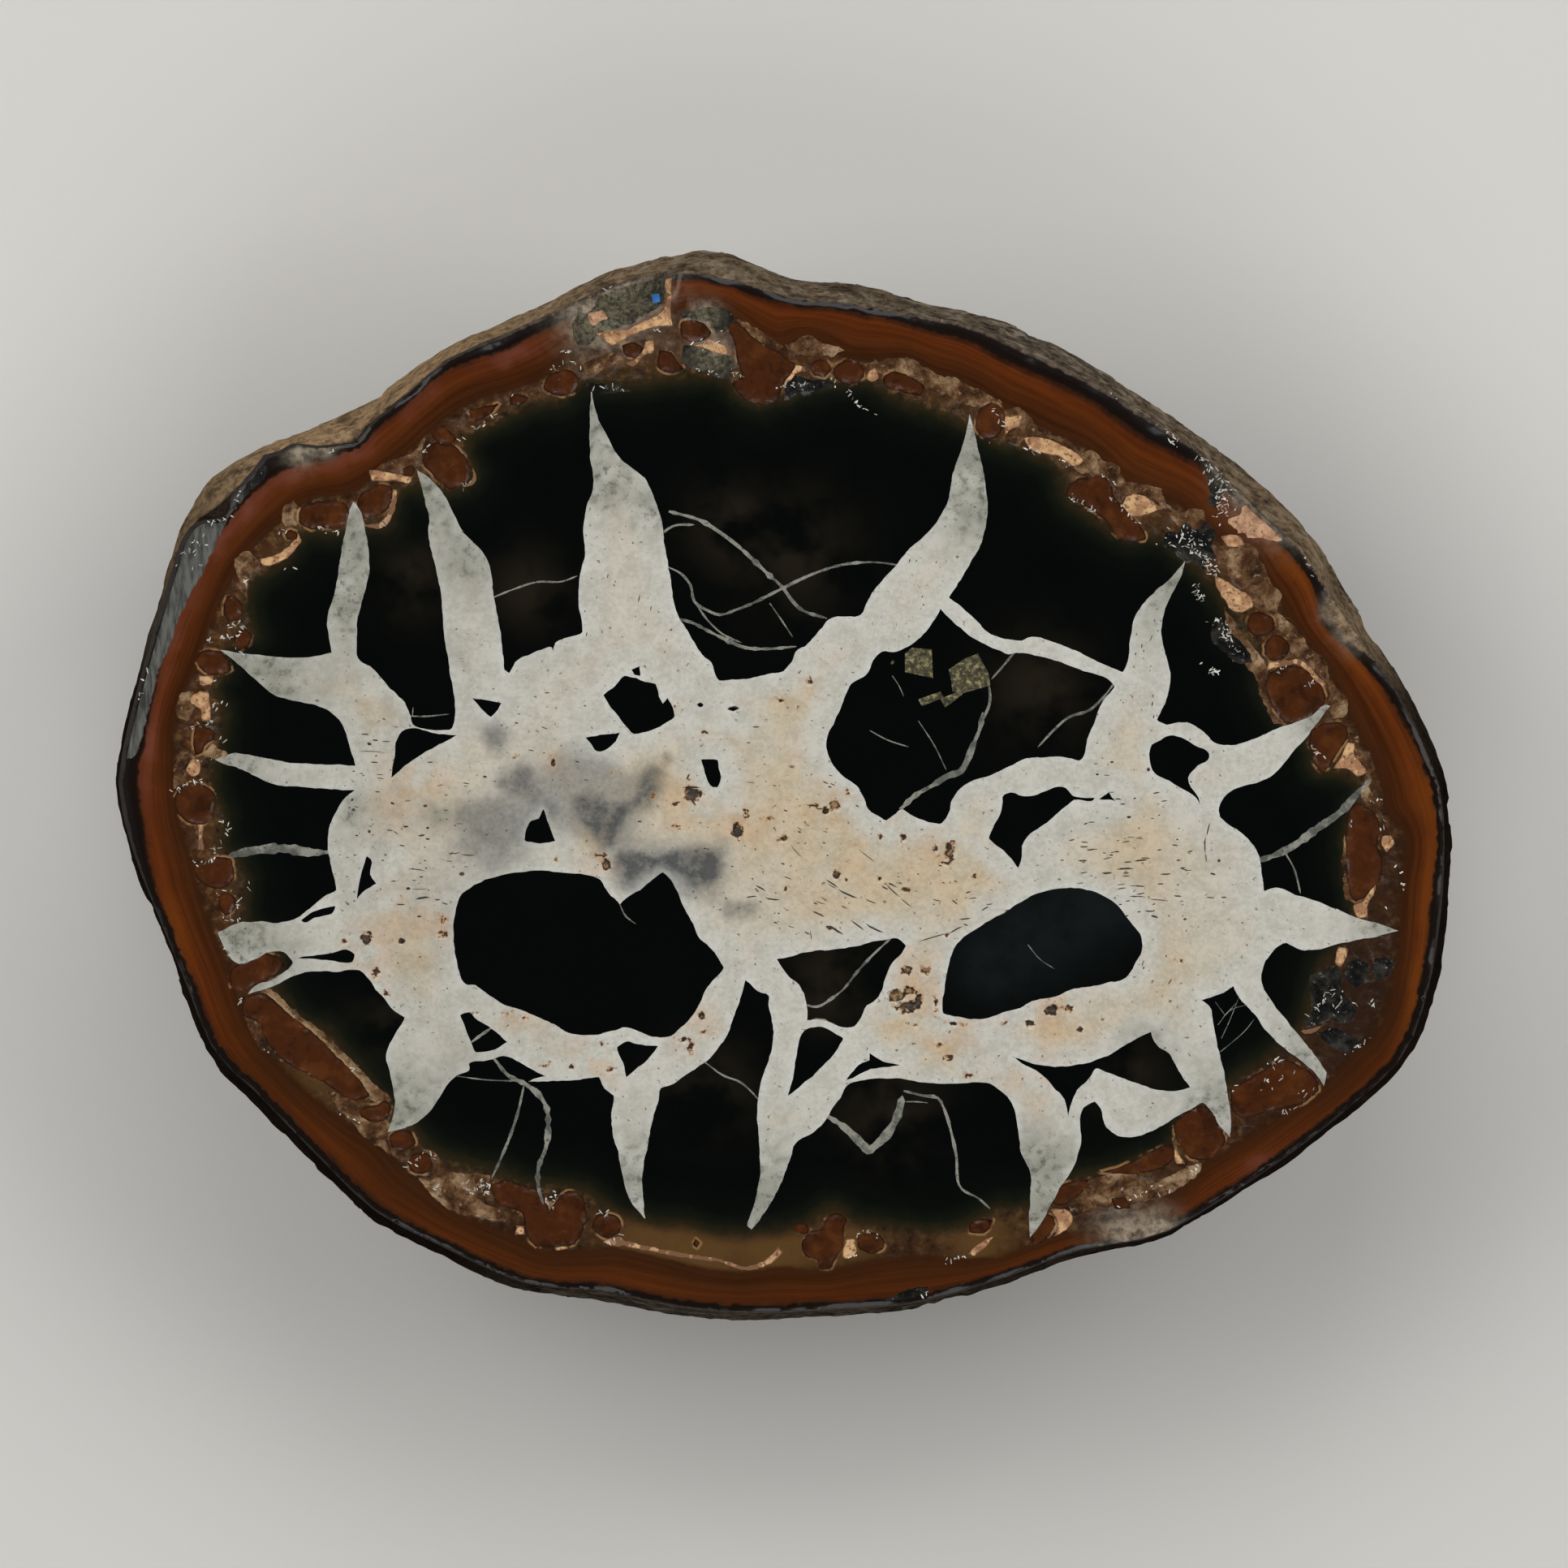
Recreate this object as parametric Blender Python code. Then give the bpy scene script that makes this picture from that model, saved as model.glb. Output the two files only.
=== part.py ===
# A polished septarian nodule: a limestone concretion sawn once, lying on its rough back with the
# polished cut facing up. Metres, +Z up, origin under the middle of the stone on the surface it lies on.

import math

import bmesh
import bpy
from mathutils import Vector, noise

MM = 0.001

# Driving dimensions, in millimetres
HEIGHT = 36.0            # base to polished cut
WIDEST_LEVEL = 29.0      # where the rind reaches furthest out
FOOT_SHARE = 0.38        # size of the flat worn patch underneath, as a share of the outline
FOOT_LENGTH = 112.0      # the oval that the outline settles into towards the foot, before that share
FOOT_WIDTH = 92.0
PIT_DEPTH = 0.5          # vugs in the ring just inside the oxidised band
STATIONS = 132           # columns of points round the stone
RIM_LEVELS = 4           # rows from the cut's edge down to the widest level
BACK_LEVELS = 17         # rows from the widest level down to the foot
LOWEST_RIND = 0.4        # nothing but the foot comes nearer the surface than this
FACE_OFFSETS = (1.5, 3.0, 4.2, 5.4, 6.6, 7.8, 9.0, 10.5, 12.0)  # rows inward from the cut's edge

# The stone's outline seen from above, anticlockwise from the right
OUTLINE = (
    (54.9, -1.0), (53.6, 3.0), (51.8, 6.9), (49.1, 11.2), (46.6, 15.3), (44.2, 19.5),
    (40.8, 23.3), (36.7, 26.8), (30.9, 31.0), (24.7, 34.9), (18.6, 37.9), (12.1, 39.5),
    (6.0, 41.1), (1.0, 41.4), (-2.2, 42.7), (-5.6, 44.0), (-9.0, 43.6), (-14.0, 42.3),
    (-21.0, 38.9), (-28.1, 35.7), (-32.5, 32.5), (-37.0, 30.0), (-42.5, 28.0), (-47.6, 24.8),
    (-49.4, 21.7), (-51.0, 16.5), (-52.9, 9.9), (-54.4, 4.0), (-55.0, -0.3), (-53.9, -5.3),
    (-51.9, -10.6), (-49.6, -16.8), (-47.5, -22.3), (-43.9, -26.1), (-38.9, -31.2), (-34.0, -35.8),
    (-28.0, -38.9), (-21.5, -41.8), (-15.2, -42.5), (-9.0, -43.7), (-3.0, -44.1), (5.0, -43.7),
    (11.5, -43.1), (18.3, -41.1), (24.5, -38.8), (30.8, -37.6), (35.2, -35.3), (41.1, -31.5),
    (46.5, -27.4), (51.4, -22.9), (53.5, -18.0), (54.6, -12.6), (55.1, -6.5),
)

# How far the cut's edge lies inside that outline: degrees round, millimetres in
CUT_INSETS = (
    (0, 0.8), (12, 1.0), (22, 1.5), (30, 1.9), (40, 1.1), (52, 1.3), (60, 1.6), (70, 1.0),
    (80, 1.7), (90, 1.5), (97, 2.3), (104, 1.3), (118, 1.0), (128, 1.0), (135, 1.4), (141, 2.2),
    (147, 2.8), (152, 3.1), (157, 0.9), (165, 0.5), (190, 0.4), (210, 1.0), (235, 0.8), (250, 0.9),
    (270, 0.6), (310, 0.5), (345, 0.8),
)

# Vugs in the cut: x, y, half length, half width, degrees turned
VUGS = (
    (-27.9, 26.6, 2.3, 2.1, 0), (-33.4, 23.3, 1.9, 1.5, 20), (-38.2, 22.3, 2.4, 1.2, 10),
    (-18.1, 33.2, 1.8, 1.2, 10), (-1.8, 33.2, 2.2, 1.6, 0), (9.8, 33.2, 2.0, 1.1, -20),
    (25.9, 23.6, 3.6, 1.4, -42), (42.1, 7.7, 2.5, 2.2, 0), (40.3, 12.6, 1.8, 1.3, -40),
    (45.2, 3.6, 1.6, 1.4, 0), (3.3, -37.6, 1.9, 1.9, 0), (-18.0, -35.6, 2.6, 1.7, 0),
    (-41.9, -20.6, 2.8, 1.5, -45), (-46.6, -7.2, 1.9, 1.6, 0), (-48.2, -1.3, 2.0, 1.7, 0),
    (47.8, -6.2, 3.4, 1.7, 88), (44.9, -17.6, 3.2, 2.0, 60),
)

# Hollows broken out of the rim: x, y, half length, half width, degrees turned, depth
RIM_BREAKS = (
    (-12.6, 41.6, 4.6, 3.4, 20, 2.4),
    (37.3, 24.4, 5.6, 2.7, -48, 2.2),
    (-46.6, 24.4, 4.2, 1.9, 38, 1.2),
)

# Broad lumps and hollows of the back: degrees round, degrees below level, half width in degrees, height
LUMPS = (
    (15, 30, 17, 2.4), (49, 40, 14, -1.9), (74, 26, 16, 2.2), (108, 50, 15, 1.9),
    (137, 30, 13, -2.0), (163, 44, 19, 2.6), (196, 25, 13, 1.6), (219, 42, 13, -2.2),
    (246, 30, 16, 2.3), (278, 48, 17, 2.0), (301, 26, 12, -1.8), (335, 42, 16, 2.2),
)

# Places where a thin shell of rind has spalled off, which leaves a ledge
SPALLS = ((34, 22, 14, 1.5), (124, 40, 15, 1.6), (205, 34, 13, 1.4), (262, 20, 14, 1.3), (316, 36, 15, 1.6))
SPALL_RAGGEDNESS = 4.0   # degrees that the edge of such a place wanders
SPALL_LEDGE = 2.5        # degrees over which its ledge drops

# Small pits in the rind
PITS = (
    (8, 16, 3.4, 1.2), (64, 33, 3.8, 1.3), (92, 16, 3.2, 1.1), (112, 24, 3.6, 1.2), (150, 18, 3.4, 1.2),
    (178, 33, 4.0, 1.4), (216, 17, 3.2, 1.1), (236, 50, 4.4, 1.3), (254, 38, 3.8, 1.3), (288, 19, 3.4, 1.2),
    (324, 16, 3.4, 1.1), (346, 30, 3.8, 1.3), (20, 54, 4.6, 1.3), (300, 56, 4.6, 1.2),
)
BUMP_SIZE = 9.0          # width of the middle-sized bumps
BUMP_HEIGHT = 1.1
RIM_BUMP_SIZE = 5.0      # the smaller bumps of the strip between the cut and the widest level
RIM_BUMP_DEPTH = 0.6

STONE_COLOUR = (0.035, 0.028, 0.022, 1.0)
STONE_ROUGHNESS = 0.45


def clear_scene():
    for item in list(bpy.data.objects):
        bpy.data.objects.remove(item)


def closed_curve(points, steps):
    """Points along a smooth closed curve through the given ones."""
    count = len(points)
    curve = []
    for i in range(count):
        before, start, end, after = (Vector(points[(i + k) % count]) for k in (-1, 0, 1, 2))
        for step in range(steps):
            t = step / steps
            curve.append(0.5 * (2 * start + (end - before) * t
                                + (2 * before - 5 * start + 4 * end - after) * t ** 2
                                + (3 * start - before - 3 * end + after) * t ** 3))
    return curve


def around(table, degrees):
    """Value of a (degrees, value) table at an angle, eased between its entries."""
    degrees %= 360
    wrapped = list(table) + [(table[0][0] + 360, table[0][1])]
    for (low, first), (high, second) in zip(wrapped, wrapped[1:]):
        if low <= degrees <= high:
            t = (degrees - low) / (high - low)
            return first + (second - first) * t * t * (3 - 2 * t)
    return table[0][1]


def outline_radii():
    """Distance from the middle to the outline at each station's angle."""
    polar = sorted((math.atan2(p.y, p.x) % math.tau, p.length) for p in closed_curve(OUTLINE, 12))
    polar = [(polar[-1][0] - math.tau, polar[-1][1])] + polar + [(polar[0][0] + math.tau, polar[0][1])]
    radii = []
    k = 0
    for station in range(STATIONS):
        angle = math.tau * station / STATIONS
        while polar[k + 1][0] < angle:
            k += 1
        (low, first), (high, second) = polar[k], polar[k + 1]
        radii.append(first + (second - first) * (angle - low) / (high - low))
    return radii


def bowl(x, y, centre_x, centre_y, half_length, half_width, degrees):
    """1 in the middle of an oval, 0 on its edge and outside."""
    turn = math.radians(degrees)
    dx = x - centre_x
    dy = y - centre_y
    along = (dx * math.cos(turn) + dy * math.sin(turn)) / half_length
    across = (dy * math.cos(turn) - dx * math.sin(turn)) / half_width
    return max(0.0, 1.0 - along * along - across * across)


def vug_drop(x, y):
    return PIT_DEPTH * max(min(1.0, 1.6 * bowl(x, y, *vug)) for vug in VUGS)


def break_rim(x, y, z):
    """Lowers a point where a piece has broken out of the rim; lower points move less."""
    for *oval, depth in RIM_BREAKS:
        drop = depth * min(1.0, 1.5 * bowl(x, y, *oval))
        z -= drop * max(0.0, 1.0 - (HEIGHT - z) / (4.0 * depth))
    return z


def direction(degrees_round, degrees_down):
    flat = math.cos(math.radians(degrees_down))
    turn = math.radians(degrees_round)
    return Vector((flat * math.cos(turn), flat * math.sin(turn), -math.sin(math.radians(degrees_down))))


def degrees_apart(first, second):
    return math.degrees(math.acos(max(-1.0, min(1.0, first.dot(second)))))


def rind_relief(point):
    """How far the rough back stands out from its smooth form at a point."""
    outward = (point - Vector((0, 0, WIDEST_LEVEL))).normalized()
    relief = BUMP_HEIGHT * noise.fractal(point / BUMP_SIZE, 0.8, 2.1, 3)
    for turn, down, width, height in LUMPS:
        relief += height * math.exp(-(degrees_apart(outward, direction(turn, down)) / width) ** 2)
    for turn, down, width, depth in SPALLS:
        ragged = width + SPALL_RAGGEDNESS * noise.noise(point / BUMP_SIZE)
        edge = (ragged - degrees_apart(outward, direction(turn, down))) / SPALL_LEDGE
        relief -= depth * max(0.0, min(1.0, edge))
    for turn, down, width, depth in PITS:
        relief -= depth * math.exp(-(degrees_apart(outward, direction(turn, down)) / width) ** 2)
    return relief


def rim_point(turn, radius, inset, level):
    """On the rim, from the cut's edge (level 0) to the widest place (level 1)."""
    reach = radius - inset * (1.0 - level) ** 2
    z = HEIGHT - (HEIGHT - WIDEST_LEVEL) * level
    smooth = Vector((reach * math.cos(turn), reach * math.sin(turn), z))
    dent = RIM_BUMP_DEPTH * abs(noise.noise(smooth / RIM_BUMP_SIZE)) * 4.0 * level * (1.0 - level)
    x = (reach - dent) * math.cos(turn)
    y = (reach - dent) * math.sin(turn)
    return Vector((x, y, break_rim(x, y, z)))


def back_point(turn, radius, level):
    """On the back, from the widest place (level 0) to the foot's edge (level 1)."""
    swing = math.radians(90.0 * level)
    share = FOOT_SHARE + (1.0 - FOOT_SHARE) * math.cos(swing) ** 0.95
    drop = math.sin(swing) ** 1.1
    oval_radius = 0.5 / math.hypot(math.cos(turn) / FOOT_LENGTH, math.sin(turn) / FOOT_WIDTH)
    reach = share * (radius + (oval_radius - radius) * level)
    smooth = Vector((reach * math.cos(turn), reach * math.sin(turn), WIDEST_LEVEL * (1.0 - drop)))
    outward = (smooth - Vector((0, 0, WIDEST_LEVEL))).normalized()
    fade = min(1.0, level / 0.2) * min(1.0, (1.0 - level) / 0.2)
    point = smooth + outward * rind_relief(smooth) * fade
    past_outline = max(1.0, math.hypot(point.x, point.y) / radius)
    return Vector((point.x / past_outline, point.y / past_outline, max(point.z, LOWEST_RIND)))


def face_point(turn, cut_radius, offset):
    """On the cut, in from its edge; the ring of vugs and the broken rim dip below it."""
    reach = cut_radius - offset
    x = reach * math.cos(turn)
    y = reach * math.sin(turn)
    return Vector((x, y, break_rim(x, y, HEIGHT) - vug_drop(x, y)))


def stone_rows():
    """Rings of points, from the inside of the cut out over the rim and down to the foot."""
    radii = outline_radii()
    turns = [math.tau * station / STATIONS for station in range(STATIONS)]
    insets = [around(CUT_INSETS, math.degrees(turn)) for turn in turns]
    columns = list(zip(turns, radii, insets))
    rows = [[face_point(turn, radius - inset, offset) for turn, radius, inset in columns]
            for offset in reversed(FACE_OFFSETS)]
    for row in range(RIM_LEVELS):
        level = row / RIM_LEVELS
        rows.append([rim_point(turn, radius, inset, level) for turn, radius, inset in columns])
    for row in range(BACK_LEVELS + 1):
        level = row / BACK_LEVELS
        rows.append([back_point(turn, radius, level) for turn, radius, _ in columns])
    for point in rows[0]:
        point.z = HEIGHT
    for point in rows[-1]:
        point.z = 0.0
    return rows


def stone_material():
    material = bpy.data.materials.new("stone")
    material.use_nodes = True
    shader = material.node_tree.nodes["Principled BSDF"]
    shader.inputs["Base Color"].default_value = STONE_COLOUR
    shader.inputs["Roughness"].default_value = STONE_ROUGHNESS
    shader.inputs["Metallic"].default_value = 0.0
    return material


def build_nodule():
    shape = bmesh.new()
    rings = [[shape.verts.new(point * MM) for point in row] for row in stone_rows()]
    for inner, outer in zip(rings, rings[1:]):
        for i in range(STATIONS):
            j = (i + 1) % STATIONS
            shape.faces.new((inner[i], outer[i], outer[j], inner[j]))
    shape.faces.new(rings[0])
    shape.faces.new(list(reversed(rings[-1])))
    bmesh.ops.recalc_face_normals(shape, faces=shape.faces)
    mesh = bpy.data.meshes.new("nodule")
    shape.to_mesh(mesh)
    shape.free()
    mesh.materials.append(stone_material())
    mesh.shade_smooth()
    mesh.set_sharp_from_angle(angle=math.radians(35))
    nodule = bpy.data.objects.new("nodule", mesh)
    bpy.context.scene.collection.objects.link(nodule)
    return nodule


clear_scene()
build_nodule()
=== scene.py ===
# Looks of a polished septarian nodule: black limestone with cream calcite in its cracks, sawn once and
# polished. Places on the cut are in millimetres from the stone's middle, read off the photograph.
# An outline is a list of places: x, y, x, y and so on.
import math
import random

import bpy
import numpy as np
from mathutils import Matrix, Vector, noise
from mathutils.bvhtree import BVHTree
from mathutils.geometry import delaunay_2d_cdt
from mathutils.kdtree import KDTree


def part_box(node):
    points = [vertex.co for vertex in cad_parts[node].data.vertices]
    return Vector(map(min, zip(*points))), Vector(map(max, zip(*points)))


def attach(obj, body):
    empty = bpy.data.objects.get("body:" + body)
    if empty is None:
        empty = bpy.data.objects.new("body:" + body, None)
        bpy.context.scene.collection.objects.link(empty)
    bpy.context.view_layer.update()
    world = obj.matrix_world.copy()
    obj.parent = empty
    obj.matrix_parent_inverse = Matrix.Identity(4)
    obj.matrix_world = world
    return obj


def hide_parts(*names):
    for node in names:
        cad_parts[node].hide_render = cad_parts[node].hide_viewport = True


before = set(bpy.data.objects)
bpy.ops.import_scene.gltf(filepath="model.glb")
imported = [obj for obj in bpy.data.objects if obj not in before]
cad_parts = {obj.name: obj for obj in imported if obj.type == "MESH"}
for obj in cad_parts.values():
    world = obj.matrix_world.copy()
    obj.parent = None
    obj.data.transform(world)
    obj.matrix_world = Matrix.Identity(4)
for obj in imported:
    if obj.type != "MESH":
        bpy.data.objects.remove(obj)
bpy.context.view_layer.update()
mm = 0.001
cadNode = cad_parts["nodule"]
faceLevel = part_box("nodule")[1].z / mm
print("frame loaded, cut at", round(faceLevel, 2), "mm")

# Calcite: one outline round the whole network, clockwise from the tip of the left arm
networkOutline = [
    -46.2, 11, -43.1, 10.6, -40.7, 10.4, -38.4, 10.5, -37.1, 10.8, -37.45, 12.8, -37.4, 14, -36.9, 15.5,
    -36.5, 17.5, -36.2, 19.6, -35.9, 21.1, -35.5, 22.8, -35.3, 23.2, -34.8, 22.5, -34.4, 21.1, -34.1, 19.6,
    -34, 18.1, -34.2, 16.4, -34.7, 14.6, -35, 13.4, -35, 12, -34.9, 10.3, -33.7, 9.5, -32.5, 8.1,
    -31.1, 6.7, -30.6, 5.5, -30.4, 4.9, -29.5, 4.55, -28.6, 4.45, -27.2, 4.6, -27.1, 4.9, -26.95, 6.1,
    -27.1, 7.5, -27.4, 9.3, -27.7, 11.4, -28, 13.7, -28.1, 15.5, -28.4, 17.2, -28.85, 19, -29.15, 20.5,
    -29.1, 21.9, -29.4, 23.1, -29.7, 24.3, -30.1, 25.8, -29.4, 25.4, -28.7, 24.7, -27.7, 23.5, -27.1, 22.2,
    -26.4, 20.8, -25.2, 19.6, -24.3, 18.5, -24, 17.4, -23.8, 15.5, -23.4, 13.4, -23.1, 11.4, -23, 10.4,
    -22.9, 9.4, -22.5, 9.1, -22.3, 9.5, -22, 10, -20.7, 10.7, -19.6, 11.15, -19.05, 11.25, -18.9, 10.9,
    -18.7, 11.6, -17.55, 12.1, -16.5, 12.5, -16.5, 12.9, -16.8, 14.9, -16.7, 16.9, -16.3, 19, -16.4, 20.8,
    -16.2, 22.5, -15.6, 24.6, -15.8, 26.6, -15.9, 28.4, -15.85, 30.7, -15.75, 32.2, -15.3, 30.3,
    -14.5, 28.6, -13.5, 26.9, -12.35, 25.9, -11.4, 25.1, -10.8, 24, -10.25, 22.6, -9.95, 21.3, -9.75, 19.6,
    -9.4, 17.7, -9.1, 15.7, -8.65, 13.9, -8, 12.8, -7.5, 11.9, -6.95, 11.1, -6.4, 10.4, -5.9, 10, -5.6, 9.1,
    -5.25, 8.5, -4.5, 8.55, -2.7, 8.7, -1.25, 9.05, 0, 9.3, 0.65, 10, 1.05, 10.8, 2, 11.5, 2.6, 12.2,
    3.2, 12.9, 3.8, 13.6, 5.2, 13.75, 6.4, 13.9, 6.8, 14.7, 7.3, 15.7, 8.4, 17, 9.25, 17.9, 10.2, 19.1,
    11.4, 20.2, 12.2, 21, 13, 22.15, 13.6, 23.5, 13.9, 25.2, 14.3, 26.6, 14.8, 28, 15.15, 29.4, 15.3, 30.4,
    15.6, 29.4, 15.9, 28, 16.3, 26.4, 16.6, 24.7, 16.8, 22.7, 16.6, 21, 16.2, 19.6, 15.4, 18.2, 14.4, 16.5,
    13.6, 15.3, 14.6, 14.6, 15.7, 13.6, 17.1, 12.3, 18.5, 11.9, 19.6, 11.8, 20.1, 12.05, 21.5, 11.9,
    23.4, 11.2, 25, 10.5, 26.6, 9.7, 27.9, 9.2, 28.3, 10.1, 28.5, 11.8, 28.85, 13.6, 29.5, 14.7, 30.6, 15.9,
    31.7, 16.8, 32.7, 17.9, 33, 18.3, 32.7, 17.2, 32.1, 15.9, 31.5, 14.7, 31.1, 13.3, 31.1, 12, 31.5, 10.4,
    31.8, 8.8, 31.6, 7.5, 31.1, 6.1, 30.7, 5.3, 31.1, 5, 31.5, 4.9, 32.5, 5.1, 33.8, 4.8, 34.7, 4.1,
    35.4, 3.4, 36.2, 3.2, 37.8, 3.4, 39.4, 4, 40.8, 4.65, 42.1, 5.05, 43.4, 5.6, 44.65, 6.5, 44.9, 6.4,
    44.1, 5.4, 43.2, 4.1, 42.1, 2.9, 41, 1.6, 40, 0.6, 38.9, 0.1, 37.7, -0.2, 37, -0.45, 36.2, -1.1,
    35.8, -1.9, 35.9, -2.7, 36.7, -3.4, 37.5, -3.9, 38.2, -4.5, 39, -5.65, 39.3, -7.3, 39.5, -8.8,
    40.5, -8.5, 42.1, -9.1, 43.8, -9.6, 45.5, -10.3, 47.1, -10.95, 48.8, -11.45, 50.5, -12.05, 49.1, -12.45,
    47.4, -12.8, 45.8, -13.1, 43.8, -13.6, 42.5, -13.6, 41.1, -13.1, 40.2, -13.8, 39.5, -14.8, 39.3, -16.3,
    40.2, -17.9, 41.5, -19.6, 42.8, -21.2, 44.1, -22.9, 44.6, -23.7, 44.4, -24.8, 43.8, -23.9, 42.5, -22.7,
    41, -21.6, 39.8, -20.4, 38.7, -18.9, 37.5, -17.6, 37, -16.6, 35.8, -17.3, 34.35, -17.75, 35, -18.25,
    35.3, -19.6, 35.7, -21.6, 36.2, -23.6, 36.5, -25.5, 36.8, -27.5, 36.7, -29, 35.8, -28, 35.2, -26.9,
    34.5, -26.2, 33.5, -26.7, 32.2, -27.4, 30.9, -28.2, 29.2, -28.9, 27.5, -28.9, 26.4, -27.9, 26.05, -26.7,
    25.6, -26.1, 24.7, -26.6, 24.4, -27.2, 24.35, -27.9, 24.5, -29.2, 24.2, -30.5, 23.6, -31.9, 22.7, -33.2,
    21.9, -34.8, 21.1, -36.2, 20.25, -37.3, 20.2, -35.8, 20.3, -33.8, 20.3, -31.85, 19.6, -30.5,
    19.3, -28.5, 19.1, -27.2, 18.6, -25.9, 17.3, -24.8, 17, -24.6, 15.8, -24.5, 14.2, -24.6, 12.6, -24.6,
    11.1, -24.45, 9.7, -24.2, 7.9, -24.2, 6.7, -24.3, 5.25, -24.8, 4.7, -25.8, 4.2, -26.4, 3.6, -27.4,
    2.9, -28.3, 2.2, -28.8, 1, -29.5, 0.7, -30.4, 0.4, -31.25, -0.1, -32.6, -0.9, -34.2, -1.7, -35.5,
    -2.6, -36.6, -2.9, -36.3, -2.5, -35, -2.1, -33.4, -1.85, -31.25, -2, -29.1, -2.1, -27.2, -2, -25.4,
    -1.75, -24.3, -1.1, -22.4, -0.85, -21, -0.95, -19.2, -1.2, -18.2, -1.2, -17.4, -2.1, -17, -3.1, -16.1,
    -3.5, -17.6, -4.1, -19.2, -4.5, -20.4, -5.1, -21.4, -6, -22.5, -6.8, -23.1, -8, -23.9, -9.2, -24.7,
    -10, -25, -10.3, -26.2, -10.8, -27.8, -11.1, -29.4, -11.4, -31, -11.6, -32.3, -11.5, -33.9,
    -11.35, -35.7, -12, -35, -12.8, -33.7, -13.2, -32.05, -13.6, -30.2, -14, -28.6, -14.1, -27,
    -13.9, -25.6, -14.7, -25, -15.1, -24.1, -16.4, -24.25, -17.8, -24.35, -20.9, -24.45, -20.5, -24.2,
    -19.5, -24, -20.9, -23.3, -21.9, -22.7, -23, -22.3, -23.9, -22.6, -25.8, -23, -25.8, -23.5,
    -26.8, -23.9, -27.5, -24.6, -27.9, -25.2, -28.9, -26.7, -30, -27.75, -31.4, -28.3, -32.5, -28.6,
    -32.2, -27.75, -31.9, -26.4, -32, -25.3, -32.3, -23.7, -32.6, -22.4, -32.3, -21.3, -31.6, -20.1,
    -31.1, -19.2, -32.2, -18.4, -32.8, -17.6, -33.5, -16.8, -34.2, -15.8, -34.8, -15.3, -36.4, -15.4,
    -38.6, -15.4, -39.9, -15.6, -41, -16.2, -42.6, -16.9, -44, -17.3, -43.7, -16.8, -42.1, -16.1,
    -40.7, -15.2, -40.3, -14.7, -41, -13.8, -42.1, -13.8, -43.4, -14.4, -44.7, -14.8, -45.3, -14.4,
    -46.4, -12.2, -44.7, -11.4, -43.1, -11.3, -41.5, -11.4, -39.9, -11, -38.9, -10.2, -37.8, -9.3,
    -36.7, -8.7, -37, -7.4, -37.25, -6.1, -37.4, -4.7, -37.2, -3.4, -36.7, -2.2, -36, -1.2, -35.2, -0.5,
    -36.2, -0.5, -37.8, -0.4, -39.9, -0.2, -41.5, -0.1, -43.1, 0.5, -44.7, 1.3, -46.1, 1.7, -46.7, 2,
    -46.1, 2.25, -45, 2.5, -43.9, 2.4, -42.1, 2, -39.9, 1.7, -37.2, 1.6, -35.1, 1.45, -35.4, 2.5,
    -35.8, 3.9, -36.3, 5.1, -37.2, 5.9, -38.4, 6.5, -39.9, 6.8, -41.3, 7.1, -42.5, 7.8, -43.7, 8.9,
    -44.8, 9.9,
]

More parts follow.
